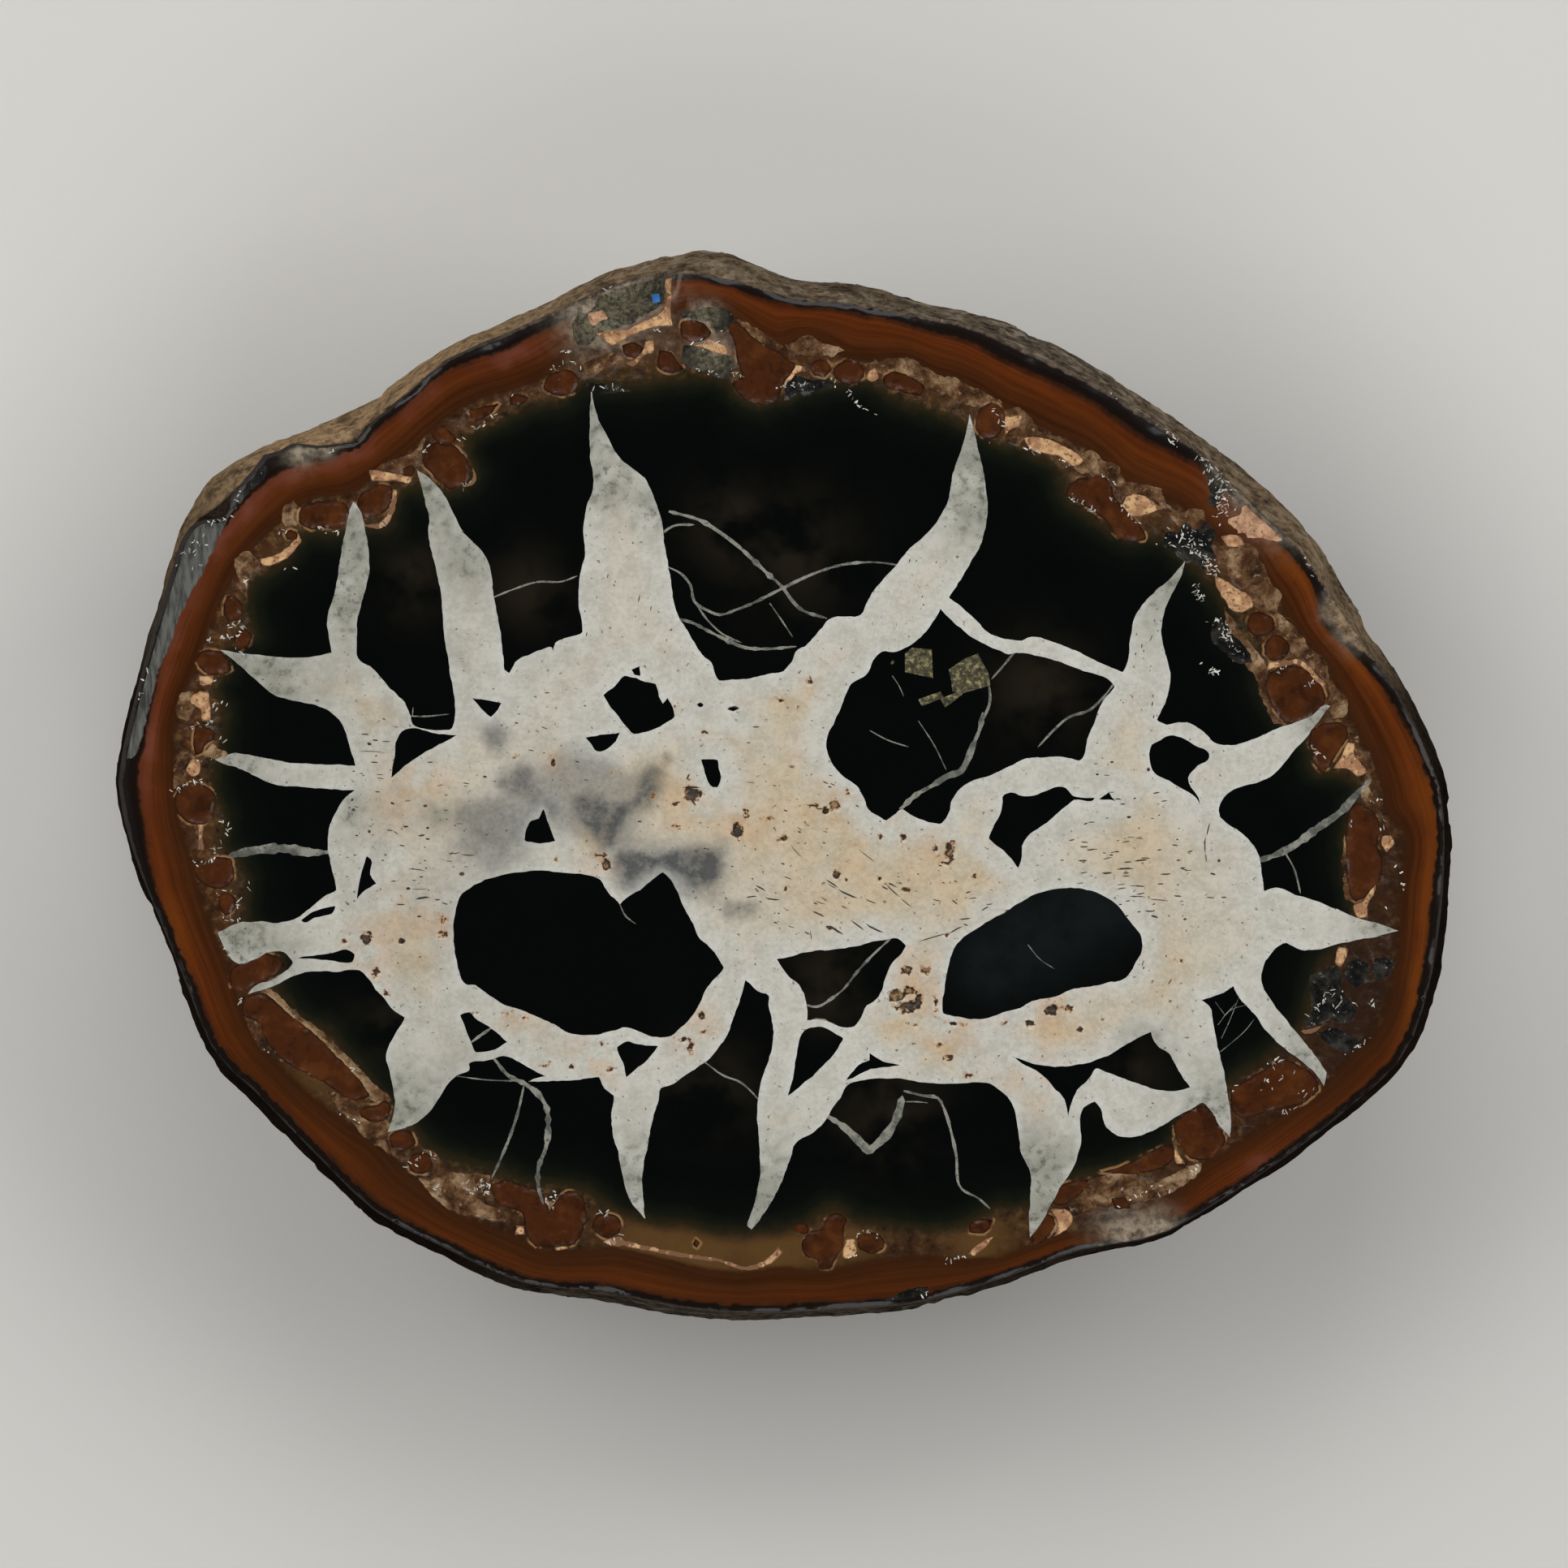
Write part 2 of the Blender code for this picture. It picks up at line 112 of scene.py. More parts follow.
# Black limestone left standing inside the calcite
islands = [
    [-31.3, 4.3, -31.7, 3.7, -31.9, 2.3, -32.15, 1, -32.2, 0.5, -31.6, 1.05, -30.5, 1.9, -29.1, 2.8,
     -27.7, 3.5, -26.8, 4, -28.6, 4.15, -30.6, 4.55],
    [-25.6, 7.1, -23.1, 6.65, -23.7, 5.8, -24, 5.5, -24.6, 6],
    [-14.8, 7.3, -14.1, 7.8, -13.6, 8.3, -13, 8.9, -12.5, 8.75, -12.05, 8.7, -11.4, 8.4, -10.5, 8.2,
     -10.2, 7.2, -9.9, 6.6, -9.5, 7.1, -9.2, 6.6, -8.9, 5.5, -9.8, 4.9, -10.9, 4.4, -12.5, 4.2, -12.9, 4.7,
     -13.75, 5.8, -14.3, 6.5],
    [-12.5, 9.4, -11.8, 9.7, -11.75, 8.9, -12.2, 9],
    [-16.2, 3.8, -15, 4.05, -13.4, 4.2, -13.75, 3.5, -15, 2.7, -15.5, 2.8, -15.8, 3.25],
    [-6.75, 2, -5.4, 1.95, -5.3, 1.3, -5.1, 0.6, -5.4, -0.3, -5.8, -0.3, -6.3, 0.6],
    [-19.7, -2.1, -19.4, -3, -19, -3.9, -18.7, -4.7, -20, -4.9, -21.2, -4.6, -21.1, -3.7, -20.7, -3,
     -20.1, -2.8],
    [-35, -9.4, -34.8, -7.9, -34.6, -7.1, -34.2, -6, -33.9, -6.2, -33.9, -7.4, -33.4, -8.2, -34.3, -8.7],
    [-39.6, -11.2, -38.7, -10.5, -36.8, -10.05, -36.9, -10.4, -38.5, -11, -39.4, -11.35],
    [-40, -14.3, -38.6, -14.1, -37.2, -13.9, -35.6, -13.7, -35.2, -14, -35.4, -14.6, -37.2, -14.5,
     -38.6, -14.35],
    [-7.05, 6.5, -6.8, 6.65, -6.55, 6.5, -6.8, 6.35], [-4.6, 6.15, -4.1, 6.35, -3.6, 6.2, -4.1, 5.98],
    [-26.4, -9, -26.8, -10.2, -27.1, -11.65, -27, -13.5, -26.7, -15.1, -26.1, -16.45, -25.3, -16.55,
     -24.1, -17.4, -22.9, -18.1, -21.5, -18.6, -20.2, -19.1, -18.8, -19.8, -17.6, -20.4, -16.6, -20.6,
     -15.3, -20.6, -14.1, -20.3, -12.9, -20, -11.7, -20.4, -10.4, -20.8, -9.2, -20.7, -8.4, -20, -7.4, -19,
     -6.8, -18, -6.4, -17, -5.55, -15.9, -4.9, -15.1, -5.3, -14.4, -6, -13.4, -7, -12.5, -7.4, -11.5,
     -8.1, -10.3, -8.6, -9.1, -9.3, -7.8, -9.9, -7.3, -10.7, -7.8, -11.8, -8.7, -12.9, -9.4, -13.4, -9.9,
     -13.9, -9.4, -14.5, -8.7, -15, -7.9, -16.4, -7.4, -18.2, -7.3, -19.6, -7.1, -21.4, -7.2, -23.2, -7.5,
     -24.5, -7.9, -25.7, -8.5],
    [-26.5, -19, -25.8, -18.75, -25.1, -19.4, -23.9, -20.1, -22.65, -21.2, -23.7, -21.8, -25.3, -22,
     -25.8, -20.8],
    [-13.6, -21.6, -13, -21.2, -11.7, -21.4, -10.3, -21.55, -11.1, -22.6, -12.2, -23.5, -12.9, -24.1,
     -13.2, -22.9],
    [14.1, -13.4, 15.1, -12.4, 16.1, -11.7, 17.2, -11.05, 18.6, -10.3, 19.5, -9.7, 20.6, -9.1, 22.6, -8.6,
     24.6, -8.6, 26.2, -9.1, 27.5, -10, 28.5, -11.3, 29.4, -12.6, 29.5, -13.3, 29, -14.6, 27.9, -16.1,
     26.9, -16.3, 25.2, -16.6, 23.9, -16.8, 22.6, -17.4, 20.5, -17.85, 19.2, -18.5, 18.3, -18.7,
     16.9, -19.2, 15.4, -19.3, 14.4, -19.1, 13.2, -18.8, 13.1, -17.6, 13.3, -16.5, 13.6, -14.9],
    [18.15, -0.85, 18.7, -0.7, 19.7, -1, 20.9, -0.85, 21.9, -0.4, 22.6, -0.2, 23.2, -0.35, 23.8, -0.95,
     25.6, -1.1, 25.5, -1.3, 23.9, -1.35, 23.4, -1.7, 22.7, -2.25, 21.9, -3, 20.9, -3.7, 20.05, -4.3,
     19.6, -5.1, 19.6, -5.9, 19.3, -6.9, 18.9, -6.4, 18.1, -5.5, 17.3, -4.9, 16.9, -4.5, 17.2, -3.6,
     17.9, -2.25],
    [26, -1.25, 26.8, -0.6, 27, -1.1, 27.3, -1.4, 26.8, -1.3],
    [31, 3.6, 31.7, 4, 32.7, 3.8, 33.8, 3.2, 35, 2.5, 35, 2.2, 33.8, 1.3, 33.3, 0.5, 33.5, -0.2, 34.1, -1.1,
     34.3, -1.9, 34.1, -1.4, 33.3, -0.7, 32.5, -0.2, 31.4, 0.4, 30.5, 0.9, 30.1, 2.1, 30.3, 3.2],
    [12.9, 14.4, 12.6, 13.8, 12.1, 13, 11.3, 12.1, 10.3, 11.3, 9.3, 10.85, 8.1, 10.85, 7.5, 10.4, 7, 9.2,
     6.1, 8.5, 5.6, 8.2, 5.2, 7.4, 4.7, 6.2, 4.1, 4.9, 3.65, 4, 3.65, 2.7, 4.1, 1.55, 5, 0.55, 6, -0.1,
     6.5, -0.9, 7, -2.1, 7.8, -2.6, 8.5, -3, 8.95, -2.6, 9.8, -2.1, 10.1, -2.3, 13, -3.2, 13.7, -2.1,
     13.8, -1.3, 14.6, -0.4, 15.1, 0.05, 16.4, 0.5, 17.7, 1, 18.9, 1.6, 19.9, 2.1, 21.2, 2.2, 22.5, 2.25,
     23.7, 2.1, 24.3, 1.9, 24.7, 2.3, 25, 3.7, 25.5, 4.9, 25.8, 5.85, 26.3, 6.9, 27.2, 8, 26.8, 8.5,
     24.7, 9.3, 22.8, 10, 20.7, 10.6, 19.1, 10.8, 18.5, 10.7, 17.9, 10.9, 16.6, 11.5, 15.3, 12.2, 14.3, 13,
     13.4, 13.9],
    [18.8, -22.35, 19.7, -22.7, 20.8, -23.05, 22.9, -23.2, 24.9, -22.9, 26.9, -22.2, 28.5, -21.2,
     30.2, -20.4, 30.4, -20.9, 30.9, -21.6, 31.7, -22.1, 32, -22.6, 32.5, -23.6, 33.4, -24.9, 32.5, -25.2,
     30.5, -25.05, 28.9, -24.55, 27.2, -23.9, 25.7, -23.4, 25.2, -24.1, 24, -25.4, 23.55, -26.5,
     23.4, -27.3, 23.1, -25.9, 22.2, -24.9, 21.25, -23.9, 19.9, -23.1],
    [1.7, -20.3, 3.1, -19.95, 4, -20.3, 4.9, -20.9, 4.5, -21.7, 3.5, -22.9, 2.4, -24, 1.3, -24.9,
     0.4, -25.6, 0.8, -24.2, 1.1, -22.2],
    [-0.5, -14.4, 0.8, -14.1, 2.6, -13.7, 4.4, -13.6, 6.1, -13.3, 7.6, -12.9, 8.5, -12.8, 9.4, -12.7,
     10.1, -13.3, 9.7, -13.9, 9, -14.7, 8.5, -15.6, 8.1, -16.9, 7.4, -17.9, 6.9, -18.2, 6.4, -19.2,
     5.6, -20, 4.9, -20, 3.3, -19.4, 1.95, -19.4, 2, -18.6, 1.7, -17.2, 1.3, -16.5, 0.4, -15.8],
    [7.1, -22.1, 7.9, -22.6, 8.6, -22.9, 9.6, -23.1, 8.6, -23.25, 6.9, -23.55, 6, -24, 5.2, -24.3,
     5.8, -23.5, 6.5, -22.9, 7.1, -22.7],
]

# Thin veins: width in the middle, width at the end, then the places it runs through
thinVeins = [
    (0.8, 0.3, [-36.9, -5.6, -39, -5.6, -41, -5.3, -43, -5.4, -45.6, -5.9]),
    (0.42, 0.25, [-9.4, 22.4, -6.7, 21.6, -5.1, 20.6, -3.65, 19.5, -2.25, 18.2, -1.1, 17.1, 0, 16.1,
     0.55, 15.3, 1.4, 14.4, 3.6, 13.6]),
    (0.25, 0.2, [-10.3, 20.3, -9, 21.2, -7.3, 21.3]),
    (0.3, 0.2, [9.6, 17.95, 7.85, 18.2, 6.45, 18.2, 4.8, 18, 3.1, 17.5, 1.4, 16.8, 0, 16.1, -1.4, 15.4,
     -2.5, 14.85, -3.9, 14.3, -5.2, 13.9, -6.3, 14.3, -7.3, 15, -7.6, 16.3, -8.3, 17.2, -9.6, 17.9]),
    (0.35, 0.2, [-8.9, 13.6, -7.6, 13.3, -6.2, 12.6, -4.8, 11.9, -3.1, 11.2, -1.4, 11.1, 1.1, 11.3]),
    (0.2, 0.15, [-7.2, 14.85, -6.2, 13.45, -4.8, 12.2, -3.4, 11.6]),
    (0.15, 0.1, [-1.1, 14.85, -0.3, 13.7, 0.8, 12.05]),
    (0.2, 0.15, [-23.9, 15.3, -22, 16.05, -20.2, 16.6, -18.1, 16.65, -16.9, 17.1]),
    (0.5, 0.35, [9.6, -2.1, 10.9, -0.9, 12.3, -0.1, 13.6, 0.7, 14.6, 1.05, 15.1, 1.9, 15.6, 3.2, 16.2, 4.7,
     16.4, 5.9]),
    (0.3, 0.15, [16.4, 5.2, 17, 6.9, 16.9, 8.2]), (0.25, 0.15, [19.2, 11.1, 18.2, 9.85, 17.1, 8.6]),
    (0.3, 0.15, [27.3, 8.4, 26, 6.8, 25.2, 6.1, 23.4, 5.45, 22.4, 4.6, 20.9, 3]),
    (0.12, 0.1, [8.95, 8.9, 9.5, 8.1, 9.9, 7.2]), (0.12, 0.1, [11.1, 5.2, 12.4, 3.2, 13.4, 1.15]),
    (0.12, 0.1, [7.1, 4.4, 8.6, 3.6, 10.3, 3.05]),
    (0.6, 0.3, [38.7, -6.4, 40.5, -5.8, 41.8, -5.15, 43.8, -3.7, 45.9, -2.2, 47.1, -0.85, 48.3, 0.4]),
    (0.2, 0.12, [41.2, -5.6, 41.9, -6.8, 42.5, -9]), (0.15, 0.1, [-13.5, -9.7, -12.9, -10.9, -12.1, -11.5]),
    (0.1, 0.08, [20.1, -13.2, 21.1, -14.4, 22.3, -15.2]),
    (0.5, 0.4, [1.2, -19.7, 3, -19.5, 4, -19.9, 5.3, -20.6]),
    (0.28, 0.2, [8.8, -12.7, 7.2, -14.2, 6.1, -15.4, 4.9, -16.9, 4, -17.6, 2.75, -18.3, 1.7, -18.1]),
    (0.2, 0.15, [-6.5, -22.8, -4.8, -24, -3.7, -24.4, -1.8, -26.1]),
    (0.75, 0.35, [3.5, -27.2, 4.9, -28.1, 6.1, -29.2, 7, -30.1, 8.5, -28.8, 9.4, -27.2, 9.8, -25.6]),
    (0.32, 0.2, [9.9, -25.2, 11.5, -25.6, 12.7, -25.8, 13.3, -26.9, 13.8, -28.6, 14.2, -30.4, 14.7, -33.3,
     16, -34, 17, -34.9]),
    (0.14, 0.1, [10.1, -26.1, 11, -26.1, 11.9, -26.2]),
    (0.45, 0.3, [-23.8, -22.5, -22.5, -24, -21.1, -24.7, -20.1, -25.5, -19.4, -26.7, -19.3, -28,
     -19.5, -29.9, -20.1, -31.5, -20.1, -33.1, -19.7, -34.5]),
    (0.3, 0.15, [-21.3, -24.8, -21.8, -27, -22.5, -29.1, -23.3, -31, -24, -32.5]),
    (0.14, 0.1, [-26.8, -24, -24.4, -24.3, -22, -24.4]),
    (0.3, 0.2, [-25.6, -21.2, -24.8, -20.6, -23.9, -20]), (0.08, 0.05, [35.5, -17.9, 36.3, -19, 37.2, -18]),
    (0.08, 0.05, [35.7, -19.8, 36.7, -18.6, 38.2, -18.1]),
    (0.1, 0.06, [35.9, -22, 36.9, -21.2, 38, -20.2, 38.7, -19.3]),
    (0.07, 0.05, [36, -20.9, 36.6, -19.6, 37.4, -17.6]), (0.16, 0.08, [-31, 5.6, -29.6, 5.55, -27.4, 5.75]),
    (0.12, 0.06, [-30.45, 5.6, -30.4, 6.3]),
]

# Pyrite crystals caught by the cut
pyriteCrystals = [
    [10, 10.7, 10.6, 11.2, 12.2, 11.05, 12.3, 8.7, 10, 9.2],
    [13.6, 9.4, 14.9, 10.3, 16, 10.7, 16.9, 9, 17, 8.1, 14.75, 7.45, 13.9, 7.6, 13.8, 8.5],
    [11.1, 6.95, 12.9, 7.6, 13.2, 7.1, 11.4, 6.4], [12.9, 7, 14.4, 7.6, 14.75, 7.4, 13.9, 6.7, 13.3, 6.3],
    [8.8, 9.9, 9, 10.2, 9.15, 10, 8.98, 9.8],
]

# Small brown-lined vugs in the calcite: x, y, width, height
calciteVugs = [
    (4.2, -1.7, 0.9, 1), (3.4, -2.2, 0.9, 0.6), (5.4, -0.7, 0.5, 0.5), (2.3, -1.8, 0.8, 0.3),
    (13.7, -5.5, 0.9, 1.7), (12.6, -5.3, 0.4, 0.9), (13.3, -6.5, 0.8, 0.4), (9.9, -4.4, 0.4, 0.8),
    (7.95, -4.5, 0.3, 0.6), (6.2, -5.1, 0.6, 0.3), (4.4, -7.4, 0.7, 0.9), (5.2, -7.9, 0.3, 0.3),
    (7.95, -7.8, 0.4, 0.4), (0.25, -8.6, 0.5, 0.3), (10.1, -8.6, 0.6, 0.35), (15.7, -7.6, 0.5, 0.25),
    (16.5, -2.4, 0.3, 0.3), (2.15, 8.4, 0.7, 0.5), (-0.3, 6.85, 1, 0.4), (-0.1, -4.5, 0.9, 0.5),
    (-0.75, -1.8, 0.4, 0.7), (-7.5, -0.8, 1.6, 1.4), (-8.9, -1.65, 0.9, 0.3), (-3.1, -2.3, 0.4, 0.9),
    (-3.75, -3.8, 1, 1.2), (-1.3, -2.9, 0.8, 0.3), (-14.55, -6.6, 0.8, 1.3), (-15.4, -6, 0.8, 0.3),
    (-18.9, 1.8, 0.4, 1.1), (-14, 0.85, 0.35, 0.3), (-22, 2.35, 0.3, 0.3), (-10.7, -0.9, 0.4, 0.4),
    (-8.8, -3.5, 1, 0.3), (-18.6, -6.2, 0.3, 0.3), (-6.3, 4.25, 0.5, 0.3), (-8.75, 6.6, 0.3, 0.9),
    (-6.7, -19.1, 0.7, 0.6), (-6.4, -20.4, 0.7, 0.3), (-8.2, -21, 1.3, 0.4), (-7.6, -21.65, 0.5, 0.9),
    (-14.3, -23.5, 0.6, 0.5), (-17.4, -23.2, 0.6, 0.35), (-19.6, -23.2, 0.7, 0.3), (-14.9, -21.3, 0.5, 0.4),
    (-22.6, -18.8, 0.7, 0.35), (-21.3, -19.2, 0.5, 0.4), (-34.25, -12.6, 0.9, 1.2), (-36, -13, 0.6, 0.4),
    (-28, -11.2, 0.5, 0.7), (-28, -12.35, 1, 0.6), (-31.4, -12.9, 0.7, 0.5), (-33.4, -15.5, 0.5, 0.8),
    (-32.6, -17.25, 0.7, 0.4), (-25.2, -18.8, 0.9, 0.4), (9.3, -17.4, 1.5, 1.2), (10.4, -17, 1.3, 0.8),
    (10.2, -18.3, 2, 1), (11.1, -17.8, 0.7, 1.3), (10.2, -15.3, 1, 0.8), (11.7, -15.3, 1.2, 0.7),
    (12.5, -18.1, 0.4, 1.4), (13.9, -19.7, 1.4, 0.4), (10.9, -19.8, 0.4, 0.4), (13.55, -22.5, 0.8, 0.6),
    (12.8, -21.5, 0.6, 0.3), (15.2, -23.9, 1, 0.4), (22, -18.55, 1.3, 0.9), (23.4, -18.5, 0.9, 0.7),
    (20.2, -19.7, 1, 0.6), (18.3, -19.6, 0.5, 0.3), (24.5, -20.1, 0.4, 0.4), (23.7, -20.7, 0.3, 0.3),
    (26.1, -20.3, 0.4, 0.4), (13.5, -12.35, 0.6, 0.4), (23.55, -22.8, 0.6, 0.25), (3.7, -11.8, 0.8, 0.3),
    (32.5, -14.5, 0.5, 0.4),
]

# Blue-grey clouds in the calcite: strength, half width of the soft edge, outline
greyClouds = [
    (0.48, 1.1, [-26.4, -3.2, -24.6, -2.2, -23, -0.4, -21.6, 1.4, -20, 1.2, -17.4, 2.8, -15, 2.2, -12.6, 1,
     -11, 1.6, -9.8, 0, -11.4, -2, -12, -4.4, -9, -5, -5, -4.8, -4.4, -7, -5.4, -9.6, -8, -9.4, -13, -9,
     -14.6, -6, -17.6, -4.2, -19, -3.4, -21.4, -5.6, -23.6, -7, -26.4, -5.4]),
    (0.6, 0.7, [-24.9, 4.6, -23.9, 4.9, -23, 4.4, -22.8, 3.6, -23.2, 2.9, -24.2, 2.8, -24.8, 3.4]),
    (0.75, 1, [-23.2, 0.6, -22.4, 1.2, -21.6, 1.6, -20.8, 1.4, -20.2, 0.6, -19.8, -0.4, -19, -1.2,
     -18.4, -2, -18.6, -2.6, -19.3, -2.7, -19.8, -2, -20.4, -2.4, -21.2, -3, -21.4, -2, -22.2, -1.2,
     -23, -0.6, -23.5, 0]),
    (0.58, 1, [-27, -2, -25, -1.4, -23, -1.2, -21.6, -1.8, -21.2, -3, -21.4, -4.4, -22, -5.6, -23, -6.6,
     -24.4, -6, -25.6, -4.8, -26.6, -3.8, -27.2, -3]),
    (0.88, 1, [-17.6, -0.8, -16.4, -0.4, -15, -0.6, -13.6, -1, -12.4, -0.6, -12, 0.4, -11.4, 1.2,
     -10.6, 1.4, -10, 0.6, -10, -0.6, -10.6, -1.6, -11.6, -2, -12.4, -2.6, -12.6, -3.6, -13.2, -4.4,
     -13.6, -5.4, -14.6, -5.6, -15.4, -4.8, -16.2, -3.8, -17.2, -2.8, -17.8, -1.8]),
    (0.94, 1, [-13.8, -5.6, -12.4, -5.2, -10.8, -5.4, -9.2, -5.6, -8, -5.2, -6.6, -5, -5.2, -5.2,
     -4.8, -6.2, -5, -7.4, -5.6, -8.4, -7, -8.6, -8.2, -8.2, -9, -7.4, -9.8, -7, -10.8, -7.4, -12, -8.2,
     -13, -8.9, -13.6, -8.4, -13.6, -7.2, -14, -6.4]),
    (0.5, 0.6, [-5, -9.8, -3.6, -9.6, -2.2, -9.8, -2, -10.4, -3.2, -10.9, -4.8, -10.8]),
    (0.5, 0.3, [-10, 2.6, -9.4, 2.6, -9.3, 1.8, -9.8, 1.6]),
    (0.35, 0.8, [-18.4, 2.6, -16.6, 2.8, -15.2, 2.2, -15, 1, -16, 0.2, -17.4, 0.4, -18.6, 1.4]),
]

# Short dark cleavage lines in the calcite: left, right, bottom, top, degrees, how many, longest
cleavageZones = [
    (-3, 9.5, -12.6, -7.6, -28, 26, 1.1), (8, 15, -12, -6.5, -24, 10, 1),
    (22.5, 33.5, -11, -2.4, 3, 58, 0.9), (26, 34, -2, 1, 6, 8, 0.6), (-8, 14, -6, 2, -18, 24, 0.6),
    (13.5, 20, -11.2, -8.6, 9, 8, 1.1), (-36, -26, -10, 2, -3, 34, 0.8), (-34.5, -31.5, -1, 6, -4, 12, 0.8),
    (-6, 6, -7, 6, -14, 18, 0.8), (24, 36, -16.5, -12, 62, 12, 0.8), (-16.4, -10, 12, 24, 80, 10, 0.8),
    (10, 16, 14.5, 24, 60, 8, 0.8), (-24, -16, -1, 8, -10, 10, 0.7), (28.6, 31.2, 4.5, 13.5, 78, 10, 0.9),
]

# The clearest of those lines and dark specks one by one: x, y, length, degrees, width
cleavageLines = [
    (25.3, -5.4, 0.8, 7, 0.1), (24.6, -6.3, 0.8, 0, 0.12), (23.7, -4.6, 0.5, 8, 0.09),
    (28.3, -6.4, 0.7, 2, 0.09), (29.4, -6.3, 1.2, 5, 0.12), (28.1, -7, 1.5, 2, 0.12),
    (26.6, -7.3, 0.9, 2, 0.13), (31.4, -7.4, 0.9, 0, 0.1), (29.3, -8.4, 0.9, -5, 0.09),
    (27.8, -8.6, 0.9, 8, 0.08), (29.1, -9.3, 1.5, -3, 0.07), (30.8, -9.5, 1.8, -5, 0.07),
    (30.5, -10.9, 0.7, -18, 0.13), (31.3, -1.4, 0.6, 5, 0.08), (35.3, -7.4, 0.5, -16, 0.13),
    (35.1, -9.3, 0.8, -3, 0.08), (34.95, -3.7, 1.2, -104, 0.09), (34.7, -5, 1.5, -91, 0.09),
    (34.7, -6.1, 0.8, -86, 0.07), (36.2, -9.3, 0.5, 0, 0.1), (32.8, -6.9, 0.5, 2, 0.09),
    (30.9, -5.4, 0.4, 8, 0.09), (31, -8.2, 0.6, 0, 0.09), (28.4, -2.7, 0.4, 0, 0.16),
    (27, 1.8, 0.3, 0, 0.14), (25.8, 0.8, 0.3, 0, 0.14), (35.8, -6.3, 0.3, 0, 0.2),
    (33, -11.1, 0.3, 0, 0.14), (30, 1.2, 0.3, 0, 0.26), (-31, -3.5, 0.5, 0, 0.13),
    (-32.3, -3.8, 0.6, -6, 0.08), (-31.8, -4, 0.5, -36, 0.07), (-29.7, -4.2, 0.6, 6, 0.13),
    (-29.2, -4.5, 0.4, -8, 0.12), (-29.6, -9.4, 1.3, 7, 0.14), (-28.4, -9.5, 0.5, 0, 0.1),
    (-27.8, -9.8, 0.6, -18, 0.08), (-25.9, -5.8, 1.3, -3, 0.08), (-27.1, -5.7, 0.8, 0, 0.07),
    (-30.1, -7.1, 1.6, -7, 0.07), (-29.9, -8.6, 1.5, 0, 0.05), (-32, -8, 0.5, 5, 0.08),
    (-32.6, 3.5, 0.8, 0, 0.07), (-33.5, 3.6, 0.5, -6, 0.11), (-33.7, 2.6, 2.4, -4, 0.05),
    (-34, 3.3, 0.4, -20, 0.2), (-35.3, -2.1, 0.3, 0, 0.18), (-35.4, -1.3, 0.3, 50, 0.16),
    (-34, -3.9, 0.3, 60, 0.2), (-29.4, -1.8, 0.4, 0, 0.18), (-29.2, -3.6, 0.3, 0, 0.16),
    (-32.1, -1.6, 0.4, -30, 0.16), (-30.8, -8.6, 0.4, 0, 0.18), (-29.9, -10.9, 0.4, 0, 0.14),
    (-24.5, 0.6, 0.4, -10, 0.14), (-26.4, -7.4, 0.5, 0, 0.26), (4, -8.2, 1.3, -34, 0.1),
    (5.3, -9, 1.9, -25, 0.12), (7.2, -9.6, 1.1, -22, 0.08), (9, -8.7, 1.8, -44, 0.08),
    (10.1, -9.7, 1.3, -40, 0.07), (1.1, -5.5, 1.5, -48, 0.06), (6.9, -5.9, 1.8, -38, 0.06),
    (2.9, -10.7, 1.2, -26, 0.11), (4.4, -12, 1.4, -34, 0.12), (6.1, -11.6, 1.5, -37, 0.1),
    (7.5, -11.8, 1.8, -27, 0.12), (2.3, -12.4, 0.9, -84, 0.06), (-2.6, -9.3, 1, 6, 0.09),
    (-0.9, -9.4, 1.4, -8, 0.1), (12.3, -12.6, 2.6, 16, 0.08), (14.2, -12, 1.4, 28, 0.1),
    (15.6, -9.4, 0.8, 8, 0.07), (-7.5, -0.3, 1.5, 0, 0.14), (-7.6, -0.7, 0.9, 20, 0.2),
    (-7.4, -1.5, 0.8, -56, 0.13), (-8.8, -1.6, 0.9, 18, 0.12), (-7.8, 0.6, 0.6, 60, 0.12),
    (-15.1, -5.9, 0.9, -4, 0.13), (-14.3, -6.6, 0.9, -66, 0.16), (-11.8, -3.1, 0.4, -10, 0.12),
    (-6.8, 6.5, 0.5, -20, 0.3), (-4.1, 6.2, 1, 5, 0.28),
]

